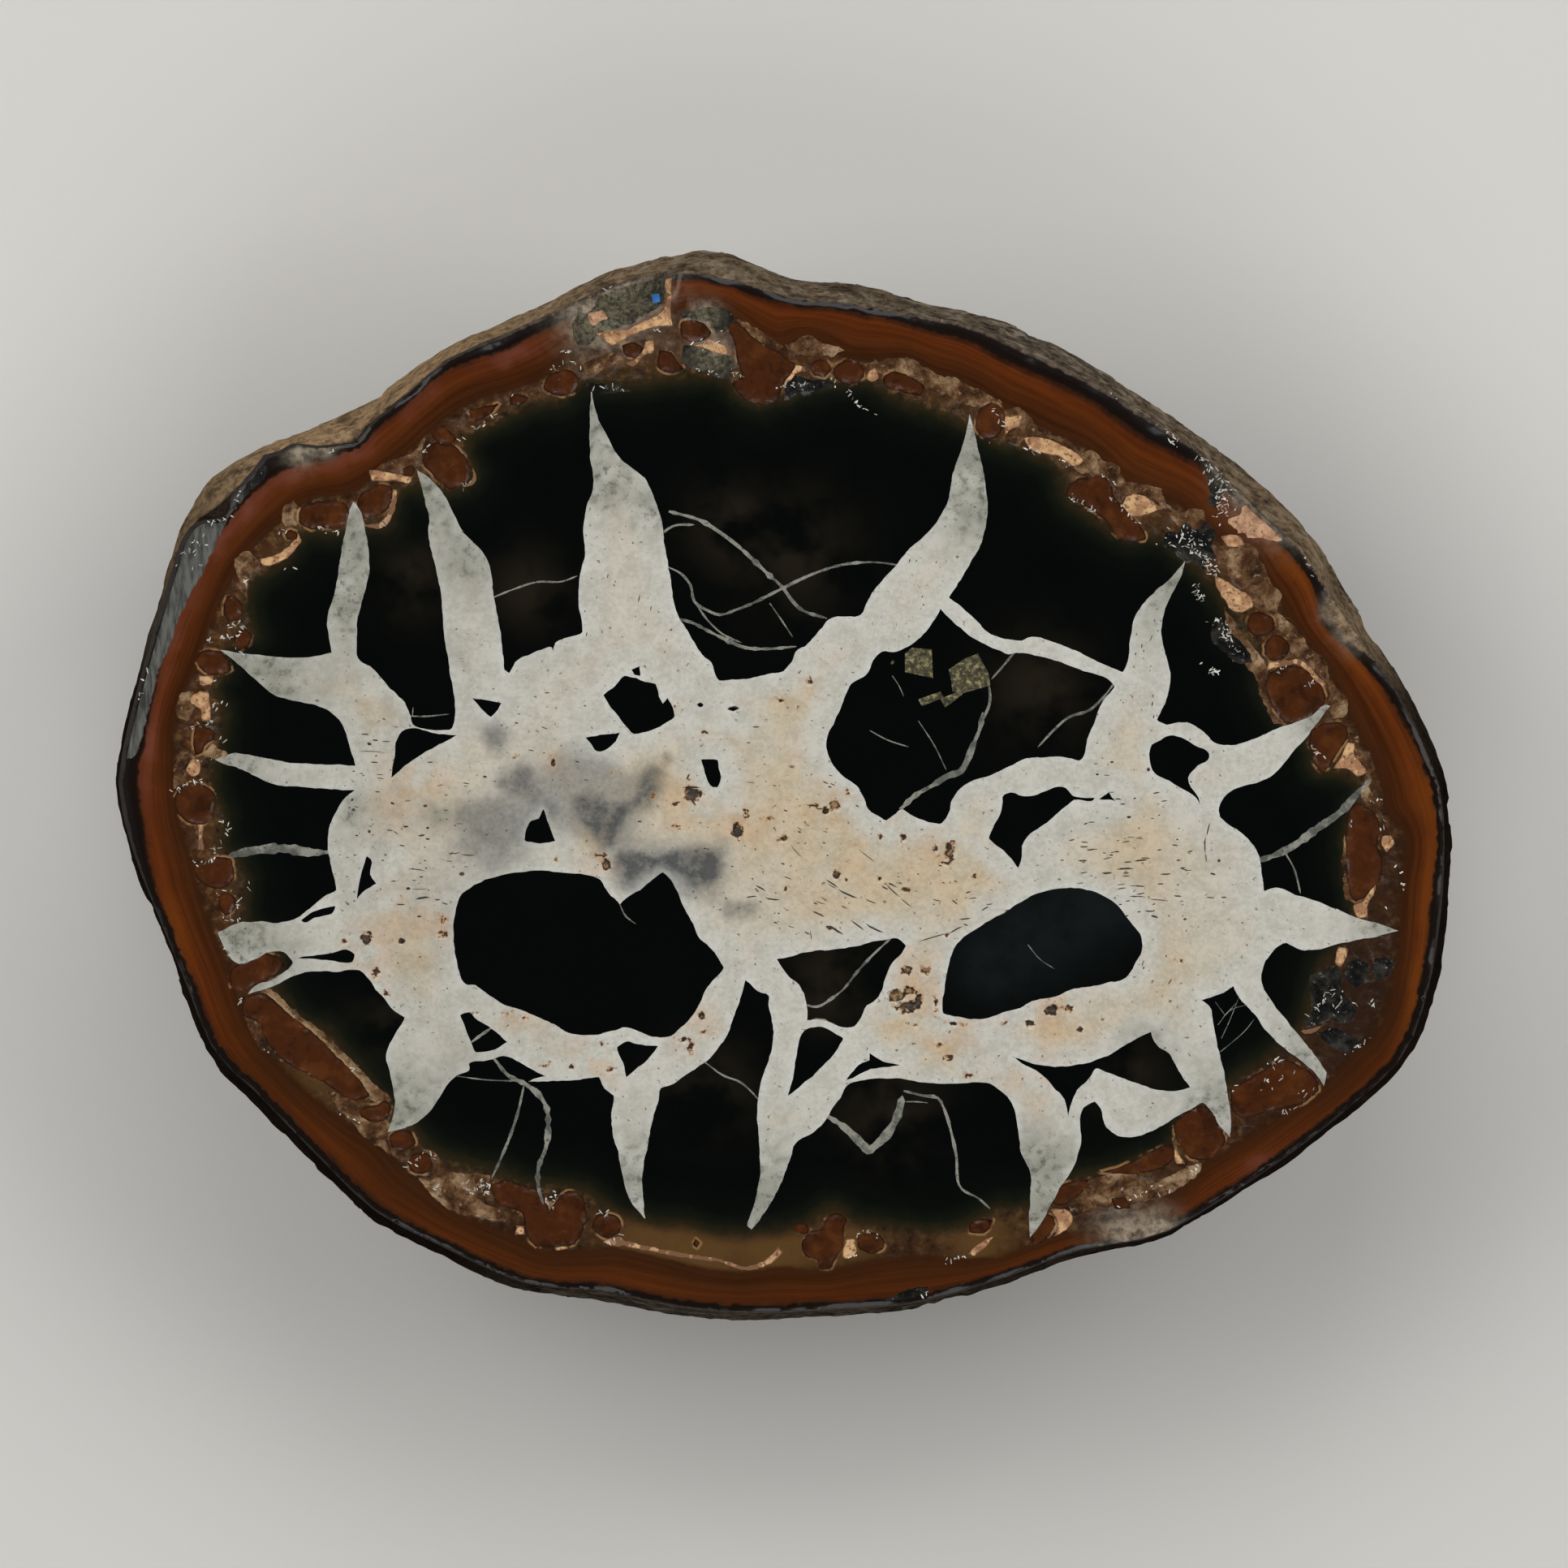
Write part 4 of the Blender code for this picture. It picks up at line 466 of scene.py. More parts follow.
# Gritty tan crust
tanCrust = [
    [5.4, 34.9, 6.6, 34.6, 7.8, 34.7, 9, 35, 10.6, 34.8, 11.6, 34.3, 12.8, 33.6, 14, 33.4, 15, 32.8,
     16.2, 32.4, 17.2, 31.8, 18, 31.3, 16.8, 31.4, 15.8, 31, 14.8, 31.3, 13.4, 32, 12.2, 32.2, 11.2, 33.2,
     10, 33.8, 9.2, 34.1, 8, 33.7, 7, 34.2],
    [0.2, 36.1, 1, 36.2, 1.6, 36.8, 2.4, 36.8, 3.2, 36.2, 4.2, 36, 5, 35.6, 4.2, 35.2, 2.6, 35.2, 1.2, 35.3,
     0.4, 35.6],
    [-4, 38.2, -3, 37.9, -2, 37.3, -1, 36.6, 0, 35.9, -0.6, 35.6, -1.6, 36.1, -2.6, 36.8, -3.6, 37.5],
    [24, 27.3, 25.6, 27.4, 26.4, 26.6, 27.4, 26.2, 28, 25, 29.6, 24.6, 31, 24.2, 31.4, 23.2, 32.6, 22.4,
     33.8, 22.6, 34.6, 22.4, 34.4, 21.2, 33, 20.8, 31.8, 22, 31.2, 22.7, 30.4, 23.4, 29.2, 23.9, 28, 23.7,
     27.4, 24, 26.8, 24.8, 25.8, 25.4, 24.6, 25.6, 23.8, 26, 24.7, 26.4],
    [18.1, 30.7, 19.4, 30.9, 20.4, 30, 21, 29, 22.4, 28.6, 24, 27.6, 24.6, 26.8, 22.2, 28.3, 20.8, 28.6,
     19.8, 28.4, 19.4, 28, 18.4, 28],
    [35.4, 19.4, 37, 19.6, 38.4, 19.8, 39.4, 18, 40.2, 16.4, 41, 15.4, 40.6, 14.6, 41.2, 13.6, 42.4, 12.6,
     43, 11.4, 43.8, 10.8, 44.6, 10, 44.8, 8.8, 45.6, 7.8, 46.4, 6.8, 46.2, 5.6, 45.2, 5.4, 44.8, 6.4,
     44.9, 7.6, 44.4, 8.6, 43.4, 9.6, 42.6, 10.3, 41.8, 10.7, 41.6, 11.8, 40.8, 12.6, 40.2, 13.8,
     39.2, 14.3, 38.4, 15, 37.4, 16.4, 36.2, 17.4, 35.2, 18.4],
    [46.4, 4.2, 47.2, 4.2, 47.4, 3, 48.2, 2.2, 48.4, 0.9, 48.2, -0.6, 49, -1.3, 48.2, -1.9, 47.4, -0.9,
     47.9, 0.3, 47.6, 1.4, 47, 2.4, 46.9, 3.3],
    [24.6, -33.2, 25.8, -32.4, 27, -32, 28.6, -32, 29.6, -32.6, 31, -32.4, 32.2, -31.9, 33.4, -31.3,
     34.4, -31.1, 34.2, -31.9, 32.8, -32.9, 31.4, -33.8, 29.8, -34.3, 28.2, -34.6, 26.4, -34.8, 24.8, -35,
     23.4, -36.2, 22.6, -37, 22.2, -36.8, 22.6, -35.6, 21.8, -34.9, 23.2, -34.8, 24.2, -34.2],
    [-44.2, -19, -43.2, -18.9, -42.6, -19.8, -42.2, -20.8, -41.4, -21.8, -42.2, -22.2, -43.2, -21.4,
     -43.8, -20.4],
    [-37.4, -25.2, -36.2, -25.6, -34.8, -26, -34.8, -27.2, -33.6, -27.8, -32.6, -27.6, -32, -28.2,
     -32.6, -28.8, -32.2, -29.8, -31.2, -30.2, -30.6, -30.9, -31.4, -31, -32.8, -30, -34.2, -29.2,
     -35.4, -27.8, -36.6, -26.6],
    [-29.6, -30, -28.8, -30.2, -28.2, -31, -28.2, -31.8, -26.8, -31.9, -25.4, -32, -24.2, -32.2, -24.4, -33,
     -25.2, -33.8, -24.4, -34.6, -23, -35, -22.6, -36.2, -24.6, -35.6, -26.6, -35.3, -28.2, -34.4,
     -29.2, -33.4, -29.9, -32.4, -29, -32, -28.6, -31.2, -29.2, -30.5],
    [-45, 18.6, -43.8, 19.2, -43.4, 18.6, -42.8, 18, -43.6, 17.6, -44, 16.6, -44, 15, -44.4, 15.6, -44.8, 17],
    [-40.8, 23, -40.2, 23.4, -39.7, 22.4, -39.9, 21.4, -40.6, 21.2, -41.2, 21.6],
    [-33.4, 25.8, -32.4, 26.6, -31, 26.9, -30, 27.6, -29.6, 28.4, -29.2, 28.8, -29.8, 27.2, -30, 26.4,
     -30.6, 26.2, -31.4, 25.7, -32.6, 25.8],
    [-49.4, 7.4, -48.4, 7.6, -48, 6.6, -48.6, 5.8, -49, 5.2, -49.7, 5.4, -49.9, 6.2],
    [-48.6, 2.6, -48.4, 2.2, -49, 1.4, -49.2, 0.6, -50, -0.4, -50.1, 1, -49.6, 2.2],
    [-46.9, 3.3, -46.4, 2.9, -45.2, 2.4, -46, 2.2, -46.8, 2.1, -47.6, 2.4, -47.3, 2.9],
    [-16.4, 34.6, -15.2, 35, -13.8, 35.4, -13, 34.8, -14.2, 34.4, -15.4, 33.6, -16.2, 33.4],
    [36.2, 14.6, 36.9, 13.6, 37.6, 12.4, 38.6, 11.2, 39.4, 10.2, 39.7, 9.2, 39.5, 8.4, 39.8, 7.2, 40.5, 5.8,
     41.3, 4.9, 40.6, 4.9, 39.8, 6, 39.2, 7.4, 38.8, 8.8, 38, 9.8, 37.2, 11.4, 36.4, 13],
    [46.1, -4.2, 46.5, -5.4, 46.4, -7, 46.6, -8.6, 47, -9.8, 46.3, -9.4, 46, -7.6, 45.9, -5.6],
    [-42.6, -16.6, -41.4, -17.4, -40, -18.8, -38.2, -20, -36.6, -21.6, -35, -23.2, -33.6, -24.6,
     -32.6, -25.4, -32.2, -26, -33.4, -26.2, -34.4, -25.4, -35.8, -23.9, -37.4, -22.2, -39, -20.7,
     -40.6, -19.4, -42, -18.2, -42.9, -17.3],
]

# Rough pinkish patches at the rim
pinkCrust = [
    [36.6, 21.6, 37.6, 22.4, 38.4, 22.9, 39.4, 22.4, 40.2, 21.6, 41.2, 20.7, 41, 20, 39.6, 20.1, 38.2, 20.4,
     37.2, 20.8],
    [-16, 38.6, -14.9, 39, -14.4, 38.3, -15.6, 37.8],
]

# Where the rind's crust runs in over the edge of the cut
rimCrust = [
    [34.4, 28.9, 35.4, 28, 36.6, 27, 37.4, 25.6, 37.3, 24.4, 38.2, 23.2, 39.6, 22.5, 40.8, 21.4, 41.4, 20.6,
     42.6, 20, 43.7, 19.1, 44.5, 17.9, 45, 16.6, 44.7, 15.4, 44.2, 14.3, 45.2, 13.3, 46.2, 12.1, 47.3, 11.1,
     48.5, 10.3, 49.4, 10.1, 52.4, 10.4, 50.4, 15, 47.4, 20, 42.6, 25.6, 38.4, 29.4, 35.4, 30.4],
]

# Grey, glassy, broken stone
greyGlass = [
    [-8.6, 38.7, -7, 38.9, -5.8, 39.2, -4.6, 38.9, -4, 38.2, -4.6, 37.4, -5.6, 37, -5.8, 37.6, -6.8, 38.1,
     -8, 38.1],
    [-17.2, 38.2, -16, 38.8, -15, 40.2, -14, 41.4, -12.6, 42.2, -11, 42.8, -9.6, 43.2, -9.4, 41.8,
     -9.8, 39.8, -10.6, 38.9, -12, 38.1, -13.6, 37.5, -15, 37.1, -16, 36.2, -16.8, 36, -17.2, 36.8],
    [-8.2, 36, -6.2, 35.8, -5.8, 35.2, -4.4, 35.2, -4, 34.2, -4.8, 33.4, -6.6, 33.9, -8.2, 34.6],
    [0.2, 33.2, 1.2, 33.6, 2.2, 33.3, 3.4, 33.2, 4.2, 33, 3.4, 32.4, 1.6, 32.2, 0.2, 31.8],
    [31.4, 20.8, 32.4, 20.6, 33, 21.6, 33.8, 20.9, 34.8, 21.5, 35.6, 20.6, 35.2, 19.6, 35.6, 18.6,
     34.8, 18.4, 34.6, 17.2, 33.9, 18.2, 32.9, 18.3, 32.2, 19.2, 31.2, 19.6],
    [34.6, 27.5, 35.6, 27.3, 36.8, 26.4, 37.3, 25.4, 36.9, 24.6, 36.2, 24, 35.6, 22.6, 35.2, 23, 35, 24.6,
     34.7, 26],
    [35.2, 13.4, 36, 13.5, 36.9, 12.4, 38, 11.2, 38.6, 10, 37.4, 9.9, 36.2, 10.8, 35.2, 12],
    [43.4, -15.8, 44.4, -15.2, 45.2, -14.9, 45.9, -15.6, 45.8, -16.8, 46.4, -17.6, 47, -18.6, 46.2, -19.6,
     44.8, -19.3, 43.2, -19.9, 42.6, -19.6, 43.6, -18, 43.2, -16.8],
    [46.3, -14.7, 47.2, -14.4, 48.2, -15, 47.8, -16.2, 46.8, -16.8, 46.3, -16],
    [48.6, -14.4, 49.4, -14.2, 50.3, -14.8, 49.6, -15.8, 48.8, -16.2, 48.5, -15.4],
    [43.8, -20.5, 45.2, -20.1, 46.6, -20.6, 47.6, -21.4, 46.4, -22, 44.8, -21.4],
    [8.2, -42.4, 9.4, -41.9, 10.8, -41.4, 11.9, -41.3, 11.6, -42, 10.2, -42.6, 8.8, -42.9, 6.8, -43.1],
    [-45, 22.6, -44.6, 23.6, -43.8, 25, -43.2, 26, -42.4, 26.1, -42.5, 25.3, -43.4, 24.4, -44.4, 23.3],
    [-48.3, 21.6, -46.8, 21.4, -45.7, 21.7, -46.4, 20.2, -47.8, 17.2, -49.2, 14.6, -50.2, 12, -51.2, 9.6,
     -52.2, 6.2, -53, 3, -53.6, 2, -54.4, 2.2, -54.3, 4, -53, 9, -52, 13, -51, 17, -49.6, 20],
    [-16.2, 33, -15, 32.9, -13.6, 32.8, -12.6, 32.3, -14, 32.1, -15.2, 32, -15.9, 32.3],
]

# Lines of glinting crystals along the vugs' lips; the crystals' white is partly a painted highlight
glintLines = [
    [-45.6, 13, -44.8, 13.2, -44.2, 14], [-46.4, 12, -45.2, 12.1, -44.2, 12.9], [-47.4, 11.9, -46.9, 11.7],
    [-44.9, 10.9, -44.4, 10.8], [-47.4, 8.4, -46.6, 8.5], [-47, 6.5, -46.3, 6.4, -46, 6.8],
    [-48.8, 4.4, -48, 4.95, -46.9, 5.1], [-46.8, 3.6, -45.8, 3.5], [-48, 1.9, -47, 2.2],
    [-50, -0.6, -48.8, 0, -47.7, 0.4], [-46.2, -3, -45.4, -3.4, -45.7, -4], [-47, -5.6, -46, -5],
    [-48.4, -6.5, -46.6, -6.2], [-46.6, -9.2, -45.8, -8.7, -45, -9], [-44.6, -9.4, -45, -10.4],
    [-44, -8, -44, -8.8], [-46, -11.1, -44.6, -11.3], [-46, -13.3, -45.4, -14], [-44.4, -17.6, -44.6, -18],
    [-43, -21.7, -42.2, -22], [-40.8, -19.2, -40.2, -19.3], [-35.8, -23.4, -35.3, -23.4],
    [-36.2, -27.2, -35, -27.7], [-31, -31.3, -30.3, -31.2, -29.9, -30.6], [-29.7, -30.1, -28.6, -30.6],
    [-25.5, -33.5, -24.6, -33], [-28.8, -33, -28.2, -33.5], [-19.5, -33.8, -19.3, -34.8],
    [-15.8, -35.3, -14.4, -35.2], [-14.6, -37.6, -13.6, -37.3], [5, -39, 6, -38.6],
    [6.2, -37.1, 7.2, -36.8, 8, -37.2], [13.4, -39.3, 15, -38.6], [12, -41.8, 11.6, -42],
    [30.2, -33.9, 31.6, -33.6, 32.2, -33.1], [33.4, -32.2, 34.4, -31.2], [35.9, -28.5, 36.3, -28.9],
    [36.8, -25.1, 37.6, -24.7], [42.2, -25.5, 43.2, -25.4, 43.5, -25.1],
    [46.2, -22.2, 47.4, -21.4, 48.2, -21], [41, -27, 42, -26.6], [39.8, -23, 41, -22.5],
    [48.2, -17.8, 48.5, -18.4], [45.4, -17.2, 44.4, -17.8, 43.2, -18.8], [49.4, -9.8, 49.7, -10.4],
    [50.6, -7, 50.8, -8.6], [49, -3.6, 49.5, -3.2], [46.6, -3.1, 46.8, -3.5], [48.2, -1.5, 48.9, -1.2],
    [43.4, 3, 44, 2.4, 44.4, 2], [42.7, 8.1, 43.6, 8.5, 44, 8.2], [40.3, 9.3, 41.3, 9.6],
    [35.8, 13, 36.4, 12.3, 36.4, 11.8], [36.6, 11.4, 37.4, 11], [35.2, 17.8, 35.8, 16.6],
    [27, 23.7, 28, 22.6, 29.3, 21.2], [23.2, 24, 24.2, 23.2, 25.6, 22.4], [26.3, 25.5, 27.2, 24.6],
    [20, 27.7, 20.8, 27.1], [22.8, 26.8, 23.6, 26], [17.1, 30.7, 17.8, 30.2, 18, 29.4],
    [16.4, 28.1, 17.1, 27.9], [5.2, 32.3, 6.2, 31.2, 7.3, 30.2], [4.1, 33.3, 4.3, 32.8],
    [-0.3, 32.4, 0.9, 32.6], [-4.2, 33.7, -3.4, 33.6], [-7, 34.1, -5.4, 33.7], [-10.5, 37.4, -10.2, 37],
    [-15.3, 32.6, -14.4, 32.4, -13.2, 32.5], [-17.6, 34.7, -16.6, 34.2], [-19, 34, -18.2, 34.6],
    [-18.1, 35.2, -17.5, 35.6], [-22.5, 31.8, -22.1, 32.1], [-25.4, 29.3, -24.4, 29.7, -23.6, 30.3],
    [-29.7, 27.4, -28.9, 28], [-26.7, 28.4, -26.4, 28.2], [-25.7, 24.9, -26.4, 24.3],
    [-33.2, 21, -32.6, 21.3, -32.3, 21.8], [-38.4, 20.9, -37.4, 20.85, -36.4, 20.7],
    [-41.2, 20.6, -40.8, 20.9], [-40.7, 17.6, -40.3, 17.7], [-44.2, 16.4, -44, 17],
    [-45.2, 22, -46.6, 21.5, -48.2, 21.7], [-45, 23.2, -44.6, 23.9], [-38.2, 26.4, -37, 27.5],
    [-36.2, 28, -34.9, 28.8], [-32, 31.6, -31, 33.1], [-33.4, 30.4, -32.4, 31.2],
    [31.4, 29.8, 32, 28.2, 32.6, 27.8], [29.4, 31.2, 31.2, 30], [26.8, 32.2, 27.4, 31.6],
    [23.8, 34.4, 24.6, 33.6], [-15, 41.2, -13.8, 41.2], [-12.2, 42.4, -11, 42.8],
]

# Patches of loose glitter: x, y, half length, half width, degrees turned, how many
glitterPatches = [
    (35.9, 24.6, 3.3, 0.9, 96, 76), (33.2, 19.8, 1.8, 1.2, -30, 44), (-14.6, 41, 1.4, 0.5, 20, 14),
    (1.2, 32.8, 1.4, 0.5, 0, 14), (36.2, 12.6, 1.5, 0.6, -60, 28), (-48.8, 19.2, 1.8, 1.1, 60, 16),
    (45.8, -17.4, 2.2, 1.6, 30, 12), (-25.2, -33.2, 1.8, 0.8, -15, 24), (-18.9, -34.2, 0.8, 0.8, 0, 10),
    (35.4, 26.4, 1.2, 0.9, 0, 30), (43.2, 18.2, 1.4, 0.5, -56, 10), (-5.4, 36.6, 1.6, 0.8, 0, 8),
    (30.2, -33.4, 3, 0.6, 18, 14), (-53, 7.4, 1.6, 0.7, 80, 12), (34.2, 15.6, 1.2, 0.4, -50, 18),
    (35.4, 9.3, 1.2, 0.4, -20, 12), (34.8, 18.3, 1.4, 0.5, -50, 22), (40, -24.4, 2, 1, 30, 10),
]

# Hollows broken out of the rim: x, y, half length, half width, degrees turned, depth
rimBreaks = [
    (-12.6, 41.6, 4.6, 3.4, 20, 2.4), (38.1, 25, 5.4, 2, -48, 2), (-46.6, 24.4, 4.2, 1.9, 38, 1.2),
]

# How far the cut's edge lies inside the stone's outline: degrees round, millimetres in
cutInsets = [
    (0, 0.8), (12, 1), (22, 1.5), (30, 1.9), (40, 1.1), (52, 1.3), (60, 1.6), (70, 1), (80, 1.7), (90, 1.5),
    (97, 2.3), (104, 1.3), (118, 1), (128, 1), (135, 1.4), (139, 1.9), (141.5, 2.9), (143.8, 2.2),
    (145.3, 0.9), (146.6, 1.2), (147.6, 0.9), (148.6, 1.3), (149.8, 1.8), (151.5, 2.2), (152.8, 2.6),
    (153.9, 3.2), (155, 2.6), (155.6, 1.4), (156.6, 0.8), (158, 0.5), (165, 0.4), (190, 0.4), (210, 1),
    (235, 0.8), (250, 0.9), (270, 0.6), (310, 0.5), (345, 0.8), (360, 0.8),
]

# How much of the skin at the rim is tan rather than dark: degrees round, share
tanRind = [
    (0, 0), (8, 0.1), (14, 0.8), (24, 1), (146, 1), (154, 0.6), (162, 0.3), (172, 0), (235, 0), (252, 0.35),
    (276, 0.5), (292, 0.15), (310, 0), (360, 0),
]
tanOnCut = [
    (0, 0), (8, 0.1), (14, 0.7), (24, 1), (112, 1), (124, 0.3), (134, 0), (160, 0), (235, 0), (252, 0.2),
    (276, 0.4), (292, 0.1), (310, 0), (360, 0),
]
darkSeam = [
    (0, 0), (144, 0), (145.5, 0.8), (157, 0.9), (160, 0), (360, 0),
]
warmRind = [
    (0, 0.2), (14, 0.5), (30, 0.45), (42, 0.2), (60, 0.05), (100, 0.3), (118, 0.7), (126, 1), (158, 1),
    (172, 0), (360, 0),
]

# Small blue speck at the top
blueSpeck = [-10.8, 40.25, -10.2, 40.3, -10.1, 39.6, -10.7, 39.5]

# Soft patches that change a colour: x, y and reach, or reach along and up
softPlaces = {
    # slate-grey limestone
    "slate": [(24, -11, 4), (20, -13, 4), (17, -15, 3), (27, -9.5, 3)],
    # cream calcite
    "creamy": [
        (2, -3, 8), (-8, 1, 5), (10, -6, 6), (16, -8, 4), (-31, 2, 4), (-34, 6, 3), (12, -19, 7),
        (6, -12, 5), (29, -6, 4), (30, -15, 4), (22, -20, 5), (-20, -19, 4), (-17, -6, 3), (-30, -14, 3),
        (-1, 8, 4), (31, 2, 4),
    ],
    # dusty breaks at the rim
    "dusty": [
        (-13.2, 40.6, 3.4), (-15.4, 38.4, 2.6), (-6.4, 38.4, 1.2), (-6, 35.2, 1.6), (-39.6, 27.4, 1.2),
        (-37.6, 27.7, 0.8), (40.8, 22.4, 2.2), (38.6, 24.4, 2), (37.2, 26.2, 1.6), (45.2, 14.2, 1),
        (46.8, 12.4, 1.2), (28.2, -37, 2.2), (30.8, -36.6, 1.6),
    ],
    # rosier stretches of the band: partly a pink tone, partly a painted pinkish sheen
    "rosyAndSheen": [
        (-52.5, 3, 4), (-50, 13, 4), (-46.5, 20, 3.5), (-44, 23.5, 3), (-40, 26, 3), (-35.5, 27.6, 2.4),
        (-30, 32, 2), (-22, 35, 2.5), (39, -31.4, 1.4),
    ],
    # brown haze in the black
    "brownish": [
        (1, 19, 4.5), (-4, 21, 3.5), (-21, 16, 3), (4, -16.5, 3.5), (8.5, -27, 4), (-6, -25, 3.5),
        (21, 8, 4), (-30, 17, 3), (28, -24, 3), (-32, -20, 3),
    ],
    # smooth golden ring
    "golden": [
        (-11, -37.4, 4), (-6, -38, 4.5), (0, -38, 4), (5.5, -37.4, 2.4), (16, -37.6, 3), (-38, -23, 3),
    ],
    # browner, duller band
    "dim": [
        (-4, -42, 12), (-20, -40, 9), (-33, -34, 7), (14, -42, 9), (30, -38, 7), (46, -26, 7),
        (-42, -26, 6), (48, -18, 5),
    ],
    # darker ring
    "darker": [(48.4, -7, 4.5), (47.6, -14, 5), (46, -20, 5), (41, -25, 4), (-41, -20.4, 3)],
    # brighter orange band
    "orange": [(53.5, -1, 4), (53.4, -9, 5), (52.5, -17, 4), (47, 10, 3), (42, 17, 3), (-51, -12, 3)],
    # greyish, speckled ends of the rays
    "tips": [
        (-35.6, 20, 4.5), (-35.8, 15, 3.5), (-42.6, 9, 4), (-46, 10.6, 3), (-29.6, 23.4, 4),
        (-25.6, 18.6, 2.2), (-15.7, 29.6, 5), (-14.4, 24.6, 2.6), (15.4, 28, 4.5), (15.6, 22.6, 3),
        (32.3, 16.4, 4), (44.3, 5.8, 2.4), (49.4, -12, 2.4), (43.8, -23.4, 4), (36.5, -27.4, 4),
        (20.7, -35.4, 5), (-2.2, -34.6, 5), (-11.8, -33.6, 5), (-31.6, -27.2, 4), (-42.6, -16.5, 3),
        (-45, -13, 3.6), (-45.2, 1.8, 3), (-44.5, -5.7, 3), (47, -1, 3), (-10.4, 22.4, 2), (30, -22, 2),
        (21, -31, 2.5), (-35.3, -2.4, 1.3), (-28.6, -2.6, 1), (16.2, 26.4, 1.6),
    ],
    # rusty stain round some vugs
    "rust": [
        (-7.4, -1.2, 2.4), (-3.4, -3.2, 2), (4.2, -1.6, 2.2), (13.2, -5.8, 1.8), (4.6, -7.4, 1.4),
        (-14.8, -6.4, 1.8), (10.6, -16.6, 3.2), (22.6, -18.6, 2.6), (13.4, -20.6, 3), (-33.8, -13.6, 2.6),
        (-28, -11.8, 1.6), (-7.2, -20.2, 2.4), (46.8, -12, 2), (-25.4, -10.6, 1), (-18.8, 1.8, 1),
        (-31, -10.4, 2.2), (-22, -18.9, 1.6), (20.4, -24.6, 2.2), (-15.6, -23.2, 2.2), (1.2, 8, 1.4),
        (-30, -1, 3),
    ],
    # where the calcite's left half is not shaded
    "bright": [(-25.4, 1.8, 4.4, 3.4)],
}

stone = {
    "stations": 600,          # columns of points round the rind
    "rindRows": 60,           # rows from the cut's edge to the foot
    "footRings": 5,
    "footShares": (0.84, 0.1),    # size of the outermost and the innermost of them
    "seeFrom": 15.0,          # level that the rind is looked up from, mm
    "footSearch": (26.0, 10.0, 0.25),    # the foot's edge is looked for from here to here, by this step
    "widestLevel": 28.98,     # level at which the stone is widest
    "edgeStep": 0.32,         # spacing of points along an outline
    "edgeRoughness": 0.07,    # how far an outline wanders
    "ringStep": 0.26,         # the same for the outlines in the ring
    "bandStep": 0.3,          # and for the edges of the rings and clouds
    "ringSpacing": 0.38,      # spacing of points in the ring and the band
    "coreSpacing": 0.8,       # further in
    "vugSpacing": 0.22,       # and round the small vugs of the calcite
    "cloudSpacing": 0.42,     # within the box that holds the grey clouds
    "cloudBox": (-28.5, -1.5, -11.5, 5.6),
    "cleavageWidth": (0.05, 0.1),
    "cleavageTurn": 7,        # degrees by which their directions scatter
    "halfSpan": 58.0,         # points are scattered this far out
    "jitter": 0.28,           # each is moved by up to this share of the spacing
    "rowShare": 0.866,        # rows as close together as a honeycomb's
    "clearOfEdge": 0.13,      # and keep this far from an outline
    "vugMargin": 0.45,        # how far round a small vug they stand close
    "vugDepth": 0.09,         # how deep the brown chalcedony lies
    "smallVugDepth": 0.3,
    "peachDepth": 0.06,
    "crustDepth": 0.08,
    "ringRelief": 0.1,
    "edgeFall": 0.1,          # how far the cut falls off towards the rim
    "stripFall": 0.6,         # the same for the glassy strip on the left
    "rindRelief": 0.34,       # height of the rind's lumps
    "rindGrain": 0.13,
    "flakeDrop": 0.5,         # how deep it has flaked off in places
    "sharpAngle": 50,         # an edge is shaded sharp from this many degrees
    "seed": 11,
}


def acrossOf(ahead):
    # unit vectors at right angles to these
    return np.stack((-ahead[:, 1], ahead[:, 0]), 1) / np.maximum(np.linalg.norm(ahead, axis=1), 1e-6)[:, None]


def smoothLine(numbers, step, closed=True):
    # a curve through the places x, y, x, y ... that keeps their sharp corners
    places = [Vector(place) for place in zip(numbers[::2], numbers[1::2])]
    count = len(places)
    tangents = []
    for i in range(count):
        back = places[i] - places[i - 1] if closed or i > 0 else Vector((0, 0))
        ahead = places[(i + 1) % count] - places[i] if closed or i < count - 1 else Vector((0, 0))
        if back.length < 1e-6 or ahead.length < 1e-6:
            tangents.append((ahead if back.length < 1e-6 else back).normalized())
            continue
        # a bend under 50 degrees is rounded, one over 95 stays sharp
        keep = max(0.0, min(1.0, (math.radians(95) - back.angle(ahead)) / math.radians(45)))
        blend = back.normalized() * ahead.length + ahead.normalized() * back.length
        tangents.append(blend.normalized() * keep)
    line = []
    for i in range(count if closed else count - 1):
        start, end = places[i], places[(i + 1) % count]
        length = (end - start).length
        leave, arrive = tangents[i] * length, tangents[(i + 1) % count] * length
        parts = max(1, round(length / step))
        for k in range(parts):
            t = k / parts
            line.append(start * (2 * t ** 3 - 3 * t ** 2 + 1) + leave * (t ** 3 - 2 * t ** 2 + t)
                        + end * (3 * t ** 2 - 2 * t ** 3) + arrive * (t ** 3 - t ** 2))
    if not closed:
        line.append(places[-1])
    return np.array([(p.x, p.y) for p in line])


def roughened(line, amount, size):
    # moves each point of a closed line across it by a little noise
    across = acrossOf(np.roll(line, -1, 0) - np.roll(line, 1, 0))
    shift = [noise.fractal((x / size, y / size, 3.7), 0.7, 2.1, 3) for x, y in line]
    return line + across * (np.array(shift) * amount)[:, None]


